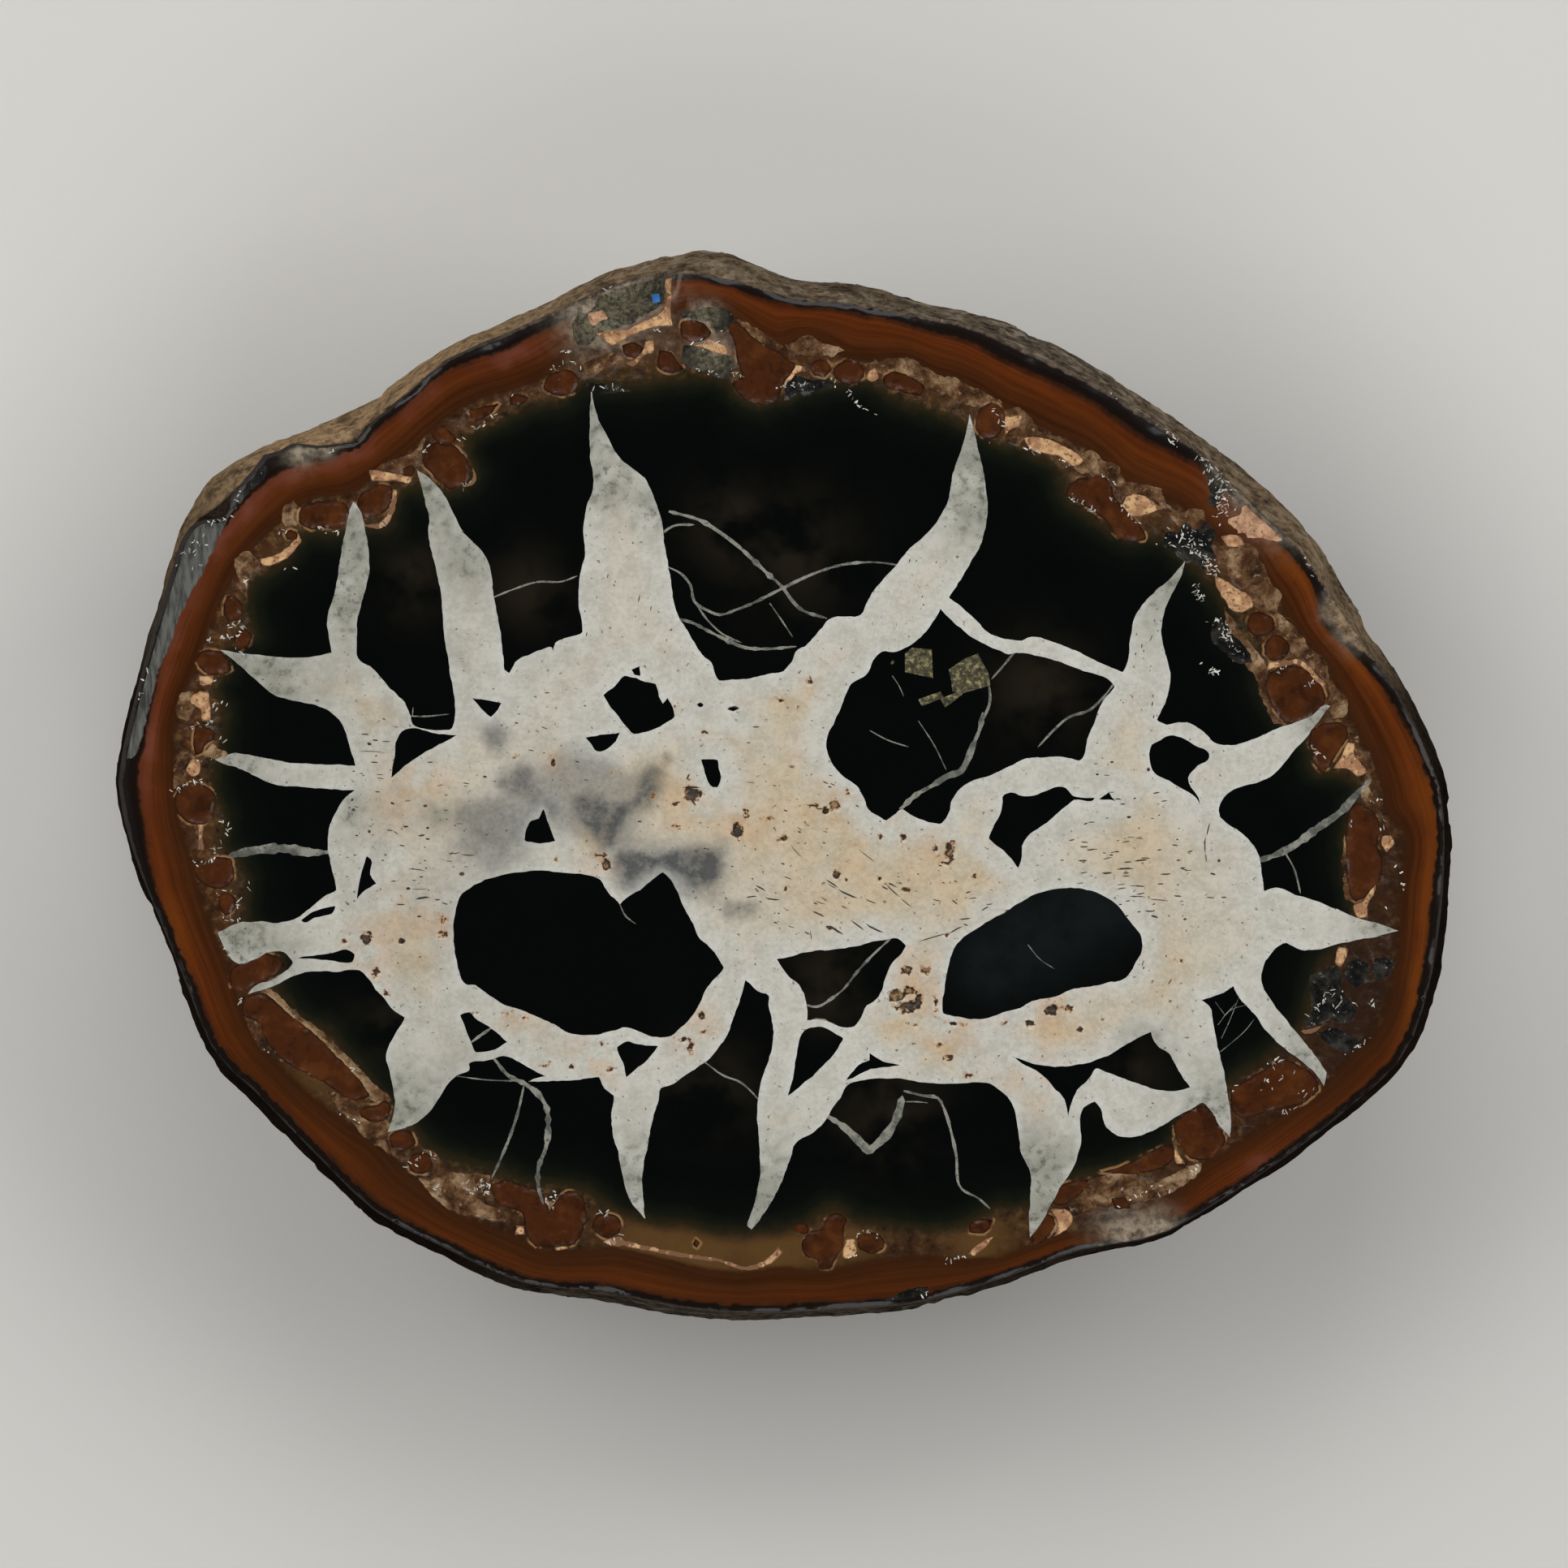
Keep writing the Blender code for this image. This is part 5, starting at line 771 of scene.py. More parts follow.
def ribbon(middleWidth, endWidth, numbers):
    # a closed outline round a centre line
    line = smoothLine(numbers, 0.4, closed=False)
    across = acrossOf(np.gradient(line, axis=0))
    width = endWidth + (middleWidth - endWidth) * np.sin(np.pi * np.linspace(0, 1, len(line))) ** 0.6
    width *= np.array([1 + 0.7 * noise.noise((x * 1.9, y * 1.9, 5.0)) for x, y in line])
    width = np.where(width < 0.45, 0.75 * width, width)
    width[-1] *= 0.3
    half = across * (width / 2)[:, None]
    return np.concatenate((line + half, (line - half)[::-1]))


def insideLoop(loop, points):
    found = np.zeros(len(points), bool)
    near = np.nonzero(((points >= loop.min(0)) & (points <= loop.max(0))).all(1))[0]
    x, y = points[near, 0], points[near, 1]
    odd = np.zeros(len(near), bool)
    for (ax, ay), (bx, by) in zip(loop, np.roll(loop, -1, 0)):
        if ay != by:
            odd ^= ((ay > y) != (by > y)) & (x < (bx - ax) * (y - ay) / (by - ay) + ax)
    found[near] = odd
    return found


def inAny(loops, points):
    found = np.zeros(len(points), bool)
    for loop in loops:
        found |= insideLoop(loop, points)
    return found


def distanceTo(line, points):
    tree = KDTree(len(line))
    for i, (x, y) in enumerate(line):
        tree.insert((x, y, 0), i)
    tree.balance()
    return np.array([tree.find((x, y, 0))[2] for x, y in points])


def depthIn(loops, points, lowest):
    # millimetres inside the nearest of the loops, negative outside them
    away = distanceTo(np.concatenate(loops), points)
    return np.maximum(np.where(inAny(loops, points), away, -away), lowest)


def ovalField(ovals, points, lowest=-3.0):
    # millimetres inside the nearest oval's edge, negative outside
    field = np.full(len(points), lowest)
    for x, y, halfLength, halfWidth, degrees in ovals:
        turn = math.radians(degrees)
        dx, dy = points[:, 0] - x, points[:, 1] - y
        along = (dx * math.cos(turn) + dy * math.sin(turn)) / halfLength
        across = (dy * math.cos(turn) - dx * math.sin(turn)) / halfWidth
        field = np.maximum(field, (1 - np.hypot(along, across)) * min(halfLength, halfWidth))
    return field


def softSpots(spots, points):
    # sum of soft round or oval spots, up to 1
    total = np.zeros(len(points))
    for x, y, reachX, *upward in spots:
        reachY = upward[0] if upward else reachX
        spot = np.exp(-((points[:, 0] - x) / reachX) ** 2 - ((points[:, 1] - y) / reachY) ** 2)
        total = np.maximum(total, total * 0.5 + spot)
    return np.clip(total, 0, 1)


def eased(value, low, high):
    t = np.clip((value - low) / (high - low), 0, 1)
    return t * t * (3 - 2 * t)


def grain(points, size, octaves=3, layer=0.0):
    return np.array([noise.fractal((p[0] / size, p[1] / size, (p[2] / size if len(p) > 2 else 0) + layer),
                                   0.8, 2.1, octaves) for p in points])


# Rim of the cut, from the frame
cadTree = BVHTree.FromPolygons([v.co / mm for v in cadNode.data.vertices],
                               [tuple(p.vertices) for p in cadNode.data.polygons])
stations, rindRows = stone["stations"], stone["rindRows"]
turns = np.arange(stations) * math.tau / stations


def reachAt(turn, slope, level):
    # distance from the stone's axis to the CAD surface, in the direction that slopes up by that angle
    heading = Vector((math.cos(slope) * math.cos(turn), math.cos(slope) * math.sin(turn), math.sin(slope)))
    return cadTree.ray_cast(Vector((0, 0, level)), heading)[3]


def roundRim(stops, degrees=np.degrees(turns)):
    # values given at some places round the rim, read off at any degrees
    return np.interp(degrees, *zip(*stops))


cutReach = np.array([reachAt(turn, 0.0, stone["widestLevel"]) for turn in turns]) - roundRim(cutInsets)
rimLoop = np.stack((cutReach * np.cos(turns), cutReach * np.sin(turns)), 1)
print("rim read from the frame")


def keptInside(loop, margin):
    # pulls a loop in where it comes too near the cut's edge
    turn = np.arctan2(loop[:, 1], loop[:, 0]) % math.tau
    limit = np.interp(turn, np.append(turns, math.tau), np.append(cutReach, cutReach[0])) - margin
    return loop * np.minimum(1, limit / np.hypot(loop[:, 0], loop[:, 1]))[:, None]


def edgeLoop(outline):
    return roughened(smoothLine(outline, stone["edgeStep"]), stone["edgeRoughness"], 0.8)


def ringLoops(outlines, wander, margin=0.45):
    smooth = [smoothLine(outline, stone["ringStep"]) for outline in outlines]
    return [keptInside(roughened(line, wander, 0.5), margin) for line in smooth]


# Outlines on the cut
calciteLoop = keptInside(edgeLoop(networkOutline), 1.0)
islandLoops = [edgeLoop(island) for island in islands]
veinLoops = [ribbon(*vein) for vein in thinVeins]
pyriteLoops = [smoothLine(crystal, 5.0) for crystal in pyriteCrystals]
outerBand = keptInside(smoothLine(bandOuter, stone["bandStep"]), 0.5)
innerBand = keptInside(smoothLine(bandInner, stone["bandStep"]), 1.6)
coreLoop = smoothLine(coreEdge, stone["bandStep"])
speckLoop = np.reshape(blueSpeck, (-1, 2))
vugLoops, peachLoops = ringLoops(chalcedony, 0.1), ringLoops(peachFills, 0.1)
crustLoops, glassLoops = ringLoops(tanCrust, 0.16), ringLoops(greyGlass, 0.16)
pinkLoops, rimCrustLoops = ringLoops(pinkCrust, 0.3), ringLoops(rimCrust, 0.2, 0.06)

picker = random.Random(stone["seed"])


def sliver(x, y, length, turn, width):
    # a thin, slightly bent outline that tapers to both ends
    bend = picker.uniform(-0.05, 0.05) * length
    half, thick, c, s = length / 2, 0.66 * width, math.cos(turn), math.sin(turn)
    corners = ((-half, 0), (-0.4 * half, bend - thick), (0.5 * half, bend - 0.8 * thick), (half, 0),
               (0.4 * half, bend + thick), (-0.5 * half, bend + 0.8 * thick))
    return np.array([(x + a * c - b * s, y + a * s + b * c) for a, b in corners])


cleavageLoops = []
for left, right, bottom, top, degrees, count, longest in cleavageZones:
    for k in range(count):
        x, y = picker.uniform(left, right), picker.uniform(bottom, top)
        turn = math.radians(degrees + picker.gauss(0, stone["cleavageTurn"]))
        length = max(0.2, longest * picker.uniform(0.3, 1.0) ** 2.2)
        cleavageLoops.append(sliver(x, y, length, turn, picker.uniform(*stone["cleavageWidth"])))
for x, y, length, degrees, width in cleavageLines:
    cleavageLoops.append(sliver(x, y, length, math.radians(degrees), width))

# Points over the cut: close together in the ring, wider apart further in
constraintLoops = [rimLoop, calciteLoop, *islandLoops, *veinLoops, *pyriteLoops, speckLoop, *cleavageLoops,
                   *vugLoops, *peachLoops, *crustLoops, *glassLoops, *pinkLoops, *rimCrustLoops]
constraintPoints = np.concatenate(constraintLoops)


def scattered(spacing):
    # points in rows like a honeycomb's, each moved a little
    span, jitter, rowShare = stone["halfSpan"], stone["jitter"], stone["rowShare"]
    points = []
    for j in range(int(2 * span / spacing / rowShare)):
        for i in range(int(2 * span / spacing)):
            points.append((-span + (i + 0.5 * (j % 2) + picker.uniform(-jitter, jitter)) * spacing,
                           -span + (j + picker.uniform(-jitter, jitter)) * spacing * rowShare))
    return np.array(points)


def vugOvals(margin):
    return [(x, y, width / 2 + margin, height / 2 + margin, 0) for x, y, width, height in calciteVugs]


def inCloudBox(points):
    left, right, bottom, top = stone["cloudBox"]
    return (points > (left, bottom)).all(1) & (points < (right, top)).all(1)


closePoints = scattered(stone["ringSpacing"])
closePoints = closePoints[insideLoop(rimLoop, closePoints)]
closePoints = closePoints[~insideLoop(coreLoop, closePoints)]
widePoints = scattered(stone["coreSpacing"])
widePoints = widePoints[insideLoop(coreLoop, widePoints)]
cloudPoints = scattered(stone["cloudSpacing"])
widePoints = np.concatenate((widePoints[~inCloudBox(widePoints)], cloudPoints[inCloudBox(cloudPoints)]))
roundVugs = vugOvals(stone["vugMargin"])
widePoints = widePoints[ovalField(roundVugs, widePoints) <= 0]
vugPoints = []
for x, y, halfLength, halfWidth, _ in roundVugs:
    across, up = (np.arange(-half, half, stone["vugSpacing"]) for half in (halfLength, halfWidth))
    vugPoints += [(x + a + picker.uniform(-0.05, 0.05), y + b + picker.uniform(-0.05, 0.05))
                  for a in across for b in up]
vugPoints = np.array(vugPoints)
vugPoints = vugPoints[ovalField(roundVugs, vugPoints) > 0]
fillPoints = np.concatenate((closePoints, widePoints, vugPoints))
fillPoints = fillPoints[distanceTo(constraintPoints, fillPoints) > stone["clearOfEdge"]]

inputEdges, first = [], 0
for loop in constraintLoops:
    inputEdges += [(first + k, first + (k + 1) % len(loop)) for k in range(len(loop))]
    first += len(loop)
inputPoints = [Vector(p) for p in np.concatenate((constraintPoints, fillPoints))]
cutPoints, _, cutTriangles, sources, _, _ = delaunay_2d_cdt(inputPoints, inputEdges, [], 1, 1e-5, True)
cutPoints = np.array([(p.x, p.y) for p in cutPoints])
cutTriangles = np.array(cutTriangles)
cutTriangles = cutTriangles[insideLoop(rimLoop, cutPoints[cutTriangles].mean(1))]
print("cut divided into", len(cutTriangles), "triangles")

# What each triangle of the cut is made of
(limestone, calcite, pyrite, rindStone, speck, cleavage, brownVug, peach, crust, glass, fineVein,
 pink) = range(12)
middles = cutPoints[cutTriangles].mean(1)
kind = np.full(len(middles), limestone)
for loops, madeOf in ((rimCrustLoops, rindStone), (crustLoops, crust), (glassLoops, glass), (pinkLoops, pink),
                      (peachLoops, peach), (vugLoops, brownVug), (veinLoops, fineVein)):
    kind[inAny(loops, middles)] = madeOf
isCalcite = insideLoop(calciteLoop, middles) & ~inAny(islandLoops, middles)
kind[isCalcite] = calcite
kind[inAny(cleavageLoops, middles) & isCalcite] = cleavage
kind[inAny(pyriteLoops, middles)] = pyrite
kind[insideLoop(speckLoop, middles)] = speck

# Place across the rings: 0 at the core's edge, 1 and 2 at the band's edges, 3 at the rim
bandLines = (coreLoop, innerBand, outerBand)
toCore, toInner, toOuter, toRim = (distanceTo(line, cutPoints) for line in (*bandLines, rimLoop))
inCore, inInner, inOuter = (insideLoop(line, cutPoints) for line in bandLines)
across = np.where(inCore, -toCore / 4.0,
                  np.where(inInner, toCore / np.maximum(toCore + toInner, 0.1),
                           np.where(inOuter, 1 + toInner / np.maximum(toInner + toOuter, 0.1),
                                    2 + toOuter / np.maximum(toOuter + toRim, 0.1))))
across = np.maximum(across, -3.0)

vugField, peachField, crustField, glassField = (
    depthIn(loops, cutPoints, -2.0) for loops in (vugLoops, peachLoops, crustLoops, glassLoops))
smallVugField = ovalField(vugOvals(0), cutPoints, -1.0)
calciteDepth = distanceTo(np.concatenate((calciteLoop, *islandLoops)), cutPoints)
shares = {name: softSpots(spots, cutPoints) for name, spots in softPlaces.items()}
shares["cloud"] = np.zeros(len(cutPoints))
wisps = 0.5 * grain(cutPoints, 2.0, 5, 21.0)
for strength, soft, outline in greyClouds:
    within = depthIn([smoothLine(outline, stone["bandStep"])], cutPoints, -3.0) + wisps
    shares["cloud"] = np.maximum(shares["cloud"], strength * eased(within, -soft, soft))
print("patterns laid out")


def cutHeight(points):
    # level of the cut: flat where it is polished, lower in vugs, in the ring and in the broken rim
    level = np.full(len(points), faceLevel)
    rough, coarse = grain(points, 0.9, 3, 1.0), grain(points, 3.2, 2, 4.0)
    ring = eased(across, -0.12, 0.1) * (1 - eased(across, 0.86, 1.08))
    pitted = eased(rough + 0.5 * coarse, 0.05, 0.5) * (1 - 0.85 * shares["golden"])
    filled = eased(np.maximum(vugField, peachField), -0.25, 0.05)
    level -= ring * stone["ringRelief"] * pitted * (1 - filled)
    level -= stone["vugDepth"] * eased(vugField, 0.0, 0.5) * (1 + 0.3 * grain(points, 1.6, 2, 12.0))
    level -= stone["smallVugDepth"] * eased(smallVugField + 0.05 * rough, 0.0, 0.25)
    level -= stone["peachDepth"] * eased(peachField, 0.0, 0.3) * (1 + rough)
    level -= eased(crustField, 0.0, 0.35) * (stone["crustDepth"] + 0.12 * rough) * (1 - filled)
    level -= eased(glassField, 0.0, 0.5) * (stone["crustDepth"] + 0.1 * np.abs(rough)) * (1 - filled)
    edge = eased(across, 2.1, 3.0)
    level -= edge * (stone["edgeFall"] + 0.1 * coarse + 0.05 * rough)
    onStrip = eased(glassField, 0.0, 0.8) * (points[:, 0] < -44) * (points[:, 1] > 0)
    level -= stone["stripFall"] * (onStrip * edge)
    for *oval, depth in rimBreaks:
        hollow = ovalField([oval], points, -9.0) + 0.35 * coarse + 0.12 * rough
        level -= (depth * eased(hollow, 0.0, 2.2) * (0.85 + 0.25 * coarse)
                  + 0.12 * eased(hollow, 0, 0.8) * (rough + 0.4))
    return np.minimum(level, faceLevel)


cutLevels = cutHeight(cutPoints)
rimIndex = np.zeros(stations, int)
for index, origins in enumerate(sources):
    for origin in origins:
        if origin < stations:
            rimIndex[origin] = index

# Rind: rows of points looked up on the CAD body from the axis, then roughened
seeFrom = stone["seeFrom"]
searchFrom, searchTo, searchStep = stone["footSearch"]
footReach = np.zeros(stations)
for i, turn in enumerate(turns):
    low = Vector((math.cos(turn), math.sin(turn), 0))
    probe = searchFrom
    while probe > searchTo:               # out to the edge of the flat foot
        hit = cadTree.ray_cast(low * probe + Vector((0, 0, -5.0)), Vector((0, 0, 1)))
        if hit[0] is not None and hit[0].z < 0.02:
            break
        probe -= searchStep
    footReach[i] = probe
footReach = np.convolve(np.concatenate((footReach[-6:], footReach, footReach[:6])), np.ones(13) / 13, "valid")
rimSlope = np.arctan2(cutLevels[rimIndex] - seeFrom, cutReach)
footSlope = -np.arctan2(seeFrom, footReach)
rows = (np.arange(1, rindRows + 1) / rindRows) ** 1.15       # a little closer together at the rim
slopes = rimSlope + (footSlope - rimSlope) * rows[:, None]
reach = np.array([[reachAt(turn, slope, seeFrom) for turn, slope in zip(turns, rowSlopes)]
                  for rowSlopes in slopes])
for sweep in range(3):                # takes the facets of the CAD body out
    inner = reach[1:-1]
    around = (np.roll(inner, 1, 1) + np.roll(inner, -1, 1) + np.roll(inner, 2, 1) + np.roll(inner, -2, 1)) / 4
    reach[1:-1] = 0.25 * inner + 0.45 * around + 0.15 * (reach[:-2] + reach[2:])
flat = np.cos(slopes) * reach
rind = np.stack((flat * np.cos(turns), flat * np.sin(turns), seeFrom + np.sin(slopes) * reach), 2)
rind = rind.reshape(-1, 3)
outward = rind - np.array((0, 0, seeFrom))
outward /= np.linalg.norm(outward, axis=1)[:, None]
flakes = eased(grain(rind, 8.0, 3, 9.0), 0.05, 0.16)
relief = (stone["rindRelief"] * grain(rind, 3.4, 4, 7.0) + stone["rindGrain"] * grain(rind, 0.9, 3, 2.0)
          - stone["flakeDrop"] * flakes)
fade = eased(rows, 0.0, 0.05) * (0.45 + 0.55 * eased(rows, 0.12, 0.35)) * (1 - eased(rows, 0.94, 1.0))
rind += outward * (relief * np.repeat(fade, stations))[:, None]
rind[:, 2] = np.maximum(rind[:, 2], 0.0)
rind[-stations:, 2] = 0.0

# Colour of the rind near the rim
wander = 0.16 * grain(rind, 11.0, 3, 15.0).reshape(rindRows, stations) * eased(rows, 0.1, 0.24)[:, None]
nearRim = 1 - eased(rows[:, None] + wander, 0.18, 0.36)
clearOfSeam = 1 - roundRim(darkSeam)[None, :] * (rows < 0.03)[:, None]
rimTans = roundRim(tanRind)[None, :] * clearOfSeam
darkSkin, tanSkin = (1 - rimTans) * nearRim, rimTans * nearRim
warmSkin = roundRim(warmRind)[None, :] * nearRim * clearOfSeam
print("rind rows", rindRows, "by", stations)

# Foot: flat rings in to the middle
footShares = np.linspace(*stone["footShares"], stone["footRings"])
footPoints = [rind[-stations:] * np.array((share, share, 0)) for share in footShares]
footPoints.append(np.zeros((1, 3)))

allPoints = np.concatenate((np.column_stack((cutPoints, cutLevels)), rind, *footPoints))
cutCount = len(cutPoints)
ringStarts = [cutCount + stations * k for k in range(rindRows + stone["footRings"])]
ringRows = [rimIndex] + [np.arange(start, start + stations) for start in ringStarts]
faces = [tuple(t) for t in cutTriangles]
for upper, lower in zip(ringRows, ringRows[1:]):
    for i in range(stations):
        j = (i + 1) % stations
        faces.append((upper[i], lower[i], lower[j], upper[j]))
lastRing, centre = ringRows[-1], len(allPoints) - 1
faces += [(lastRing[i], centre, lastRing[(i + 1) % stations]) for i in range(stations)]
faceKinds = list(kind) + [rindStone] * (len(faces) - len(kind))

mesh = bpy.data.meshes.new("polished_nodule")
mesh.from_pydata((allPoints * mm).tolist(), [], [tuple(int(v) for v in f) for f in faces])
mesh.polygons.foreach_set("material_index", np.array(faceKinds, np.int32))


def addField(name, cutValues, elsewhere=0, rindValues=()):
    values = np.full(len(allPoints), elsewhere, np.float32)
    values[:cutCount] = cutValues
    values[cutCount:cutCount + len(rindValues)] = rindValues
    mesh.attributes.new(name, "FLOAT", "POINT").data.foreach_set("value", values)


addField("across", across, 3.4)
addField("ringVug", vugField, -2)
addField("smallVug", smallVugField, -1)
addField("peachDepth", peachField, -2)
addField("calciteDepth", calciteDepth)
for name, share in shares.items():
    addField(name, share)
cutTurns = np.degrees(np.arctan2(cutPoints[:, 1], cutPoints[:, 0])) % 360
onCrust, tanHere = inAny(rimCrustLoops, cutPoints), roundRim(tanOnCut, cutTurns)
addField("darkSkin", np.where(onCrust, 0, 1 - tanHere), 0, darkSkin.ravel())
addField("tanSkin", np.where(onCrust, 1, tanHere), 0, tanSkin.ravel())
addField("warmSkin", roundRim(warmRind, cutTurns), 0, warmSkin.ravel())

# Own map for the export: the cut takes most of it, the unrolled rind and the foot the strip above
bakeMap = {"cutHalf": 55.5, "cutScale": 0.49, "cutShift": 0.1, "stripLow": 0.81, "stripHigh": 0.99,
           "stripStart": 0.01, "stripEnd": 0.86, "footMiddle": (0.93, 0.9), "footHalf": 30.0,
           "footScale": 0.08}
uvMap = mesh.uv_layers.new(name="OFBake")
loopVertex = np.zeros(len(mesh.loops), np.int32)
mesh.loops.foreach_get("vertex_index", loopVertex)
uv = np.zeros((len(mesh.loops), 2))
cursor = 3 * len(cutTriangles)
cutPlaces = cutPoints[loopVertex[:cursor]] / bakeMap["cutHalf"]
uv[:cursor] = 0.5 + cutPlaces * bakeMap["cutScale"] - (0, bakeMap["cutShift"])
rowHeight = (bakeMap["stripHigh"] - bakeMap["stripLow"]) / rindRows
left = np.linspace(bakeMap["stripStart"], bakeMap["stripEnd"], stations, endpoint=False)
right = left + (bakeMap["stripEnd"] - bakeMap["stripStart"]) / stations
for row in range(rindRows):
    top, bottom = (np.full(stations, bakeMap["stripHigh"] - rowHeight * (row + k)) for k in (0, 1))
    corners = np.stack((left, top, left, bottom, right, bottom, right, top), 1)
    uv[cursor:cursor + 4 * stations] = corners.reshape(-1, 2)
    cursor += 4 * stations
footPlaces = allPoints[loopVertex[cursor:], :2] / bakeMap["footHalf"]
uv[cursor:] = np.array(bakeMap["footMiddle"]) + footPlaces * bakeMap["footScale"]
uvMap.data.foreach_set("uv", uv.astype(np.float32).ravel())
mesh.validate()
mesh.shade_smooth()
mesh.set_sharp_from_angle(angle=math.radians(stone["sharpAngle"]))


def placed(name, data):
    thing = bpy.data.objects.new(name, data)
    bpy.context.scene.collection.objects.link(thing)
    return thing


def triangleCount(data):
    return sum(len(p.vertices) - 2 for p in data.polygons)


polishedNodule = placed("polished_nodule", mesh)
print("stone mesh:", len(mesh.vertices), "points,", triangleCount(mesh), "triangles")


# Shader building
def colour(*screen):
    # red, green and blue on screen, 0 to 255, as Blender's linear colour
    linear = [((v / 255 + 0.055) / 1.055) ** 2.4 if v > 10 else v / 255 / 12.92 for v in screen]
    return (*linear, 1.0)


def add(tree, kindName, inputs=None, **settings):
    node = tree.nodes.new(kindName)
    for name, value in settings.items():
        setattr(node, name, value)
    for key, value in (inputs or {}).items():
        put(node.inputs[key], value)
    return node


def put(socket, value):
    # links a value to a socket, or sets the socket to a number, a screen colour or a vector
    if isinstance(value, Value):
        value = value.socket
    if isinstance(value, bpy.types.NodeSocket):
        socket.id_data.links.new(value, socket)
    else:
        socket.default_value = colour(*value) if socket.type == "RGBA" and len(value) == 3 else value


class Value:
    # an output in a shader, for use in plain sums
    def __init__(self, socket):
        self.socket = socket

    def maths(self, operation, a, b):
        return Value(add(self.socket.id_data, "ShaderNodeMath", {0: a, 1: b}, operation=operation).outputs[0])

    def __add__(self, other):
        return self.maths("ADD", self, other)

    def __sub__(self, other):
        return self.maths("SUBTRACT", self, other)

    def __rsub__(self, other):
        return self.maths("SUBTRACT", other, self)

    def __mul__(self, other):
        return self.maths("MULTIPLY", self, other)

    def __truediv__(self, other):
        return self.maths("DIVIDE", self, other)

    def __rtruediv__(self, other):
        return self.maths("DIVIDE", other, self)

    def atLeast(self, other):
        return self.maths("MAXIMUM", self, other)

    def atMost(self, other):
        return self.maths("MINIMUM", self, other)

    def between(self, low, high, toLow=0.0, toHigh=1.0):
        # eases from one share to the other while the value goes from low to high
        return Value(add(self.socket.id_data, "ShaderNodeMapRange", {
            "Value": self, "From Min": low, "From Max": high, "To Min": toLow, "To Max": toHigh},
            interpolation_type="SMOOTHSTEP").outputs[0])


def noiseValue(tree, where, scale, detail, roughness, warp=0.0):
    return Value(add(tree, "ShaderNodeTexNoise", {"Vector": where, "Scale": scale, "Detail": detail,
                                                  "Roughness": roughness, "Distortion": warp}).outputs["Fac"])


class Paint:
    # a material, its colour laid on coat by coat
    def __init__(self, name, specular=0.5):
        self.material = bpy.data.materials.new(name)
        self.material.use_nodes = True
        self.tree = self.material.node_tree
        self.shader = self.tree.nodes["Principled BSDF"]
        self.shader.inputs["Specular IOR Level"].default_value = specular
        place = add(self.tree, "ShaderNodeTexCoord").outputs["Object"]
        self.where = self.vector("SCALE", place, Scale=1 / mm)

    def vector(self, operation, a, b=(0, 0, 0), **more):
        return add(self.tree, "ShaderNodeVectorMath", {0: a, 1: b, **more}, operation=operation).outputs[0]

    def axes(self):
        return [Value(socket) for socket in add(self.tree, "ShaderNodeSeparateXYZ", {0: self.where}).outputs]

    def noise(self, size, detail=4.0, roughness=0.55, warp=0.0, where=None):
        return noiseValue(self.tree, where or self.where, 1 / size, detail, roughness, warp)

    def field(self, name):
        return Value(add(self.tree, "ShaderNodeAttribute", attribute_name=name).outputs["Fac"])

    def mask(self, group, **inputs):
        node = add(self.tree, "ShaderNodeGroup", {"Where": self.where, **inputs}, node_tree=group)
        return Value(node.outputs["Mask"])

    def mixed(self, share, a, b, blend="MIX"):
        return Value(add(self.tree, "ShaderNodeMix", {0: share, 6: a, 7: b}, data_type="RGBA",
                         blend_type=blend).outputs[2])

    def ramp(self, value, stops):
        node = add(self.tree, "ShaderNodeValToRGB", {"Fac": value})
        bar = node.color_ramp
        while len(bar.elements) < len(stops):
            bar.elements.new(0.5)
        for element, (place, shade) in zip(bar.elements, stops):
            element.position = place
            element.color = colour(*shade)
        return Value(node.outputs["Color"])

    def coat(self, share, shade, blend="MIX"):
        self.base = self.mixed(share, self.base, shade, blend)

    def lips(self, shade):
        self.coat(self.mask(lipLine, Away=self.field("ringVug")), shade)

    def finished(self, roughness, height=None, distance=0.0):
        put(self.shader.inputs["Base Color"], self.base)
        put(self.shader.inputs["Roughness"], roughness)
        if height is not None:
            bump = add(self.tree, "ShaderNodeBump", {"Height": height, "Distance": distance * mm})
            put(self.shader.inputs["Normal"], bump.outputs["Normal"])
        return self.material


def maskGroup(name, mask, **numbers):
    # a node group with a place and these numbers as inputs, and the mask made from them as output
    tree = bpy.data.node_groups.new(name, "ShaderNodeTree")
    tree.interface.new_socket("Where", in_out="INPUT", socket_type="NodeSocketVector")
    for label, value in numbers.items():
        tree.interface.new_socket(label, in_out="INPUT", socket_type="NodeSocketFloat").default_value = value
    tree.interface.new_socket("Mask", in_out="OUTPUT", socket_type="NodeSocketFloat")
    given = [Value(socket) for socket in tree.nodes.new("NodeGroupInput").outputs]
    put(tree.nodes.new("NodeGroupOutput").inputs["Mask"], mask(tree, *given[:len(numbers) + 1]))
    return tree


def raggedMask(tree, where, field, size, wander, soft):
    # turns a field in millimetres into a mask with a ragged edge
    shift = (noiseValue(tree, where, 1.0 / size, 4.0, 0.6) - 0.5) * wander
    return ((field + shift * 2.0) / soft).between(-1.0, 1.0)


def lipMask(tree, where, away):
    # pale broken line along the lips of the vugs
    line = away.between(-0.28, -0.12) * away.between(0.02, -0.04)
    return line * noiseValue(tree, where, 1 / 2.2, 5.0, 0.6).between(0.5, 0.6)


def speckMask(tree, where, size, share):
    # fine specks, more of them as the share rises
    return (noiseValue(tree, where, 1.0 / size, 2.0, 0.7) - (0.72 - share * 0.4)).between(-0.03, 0.05)


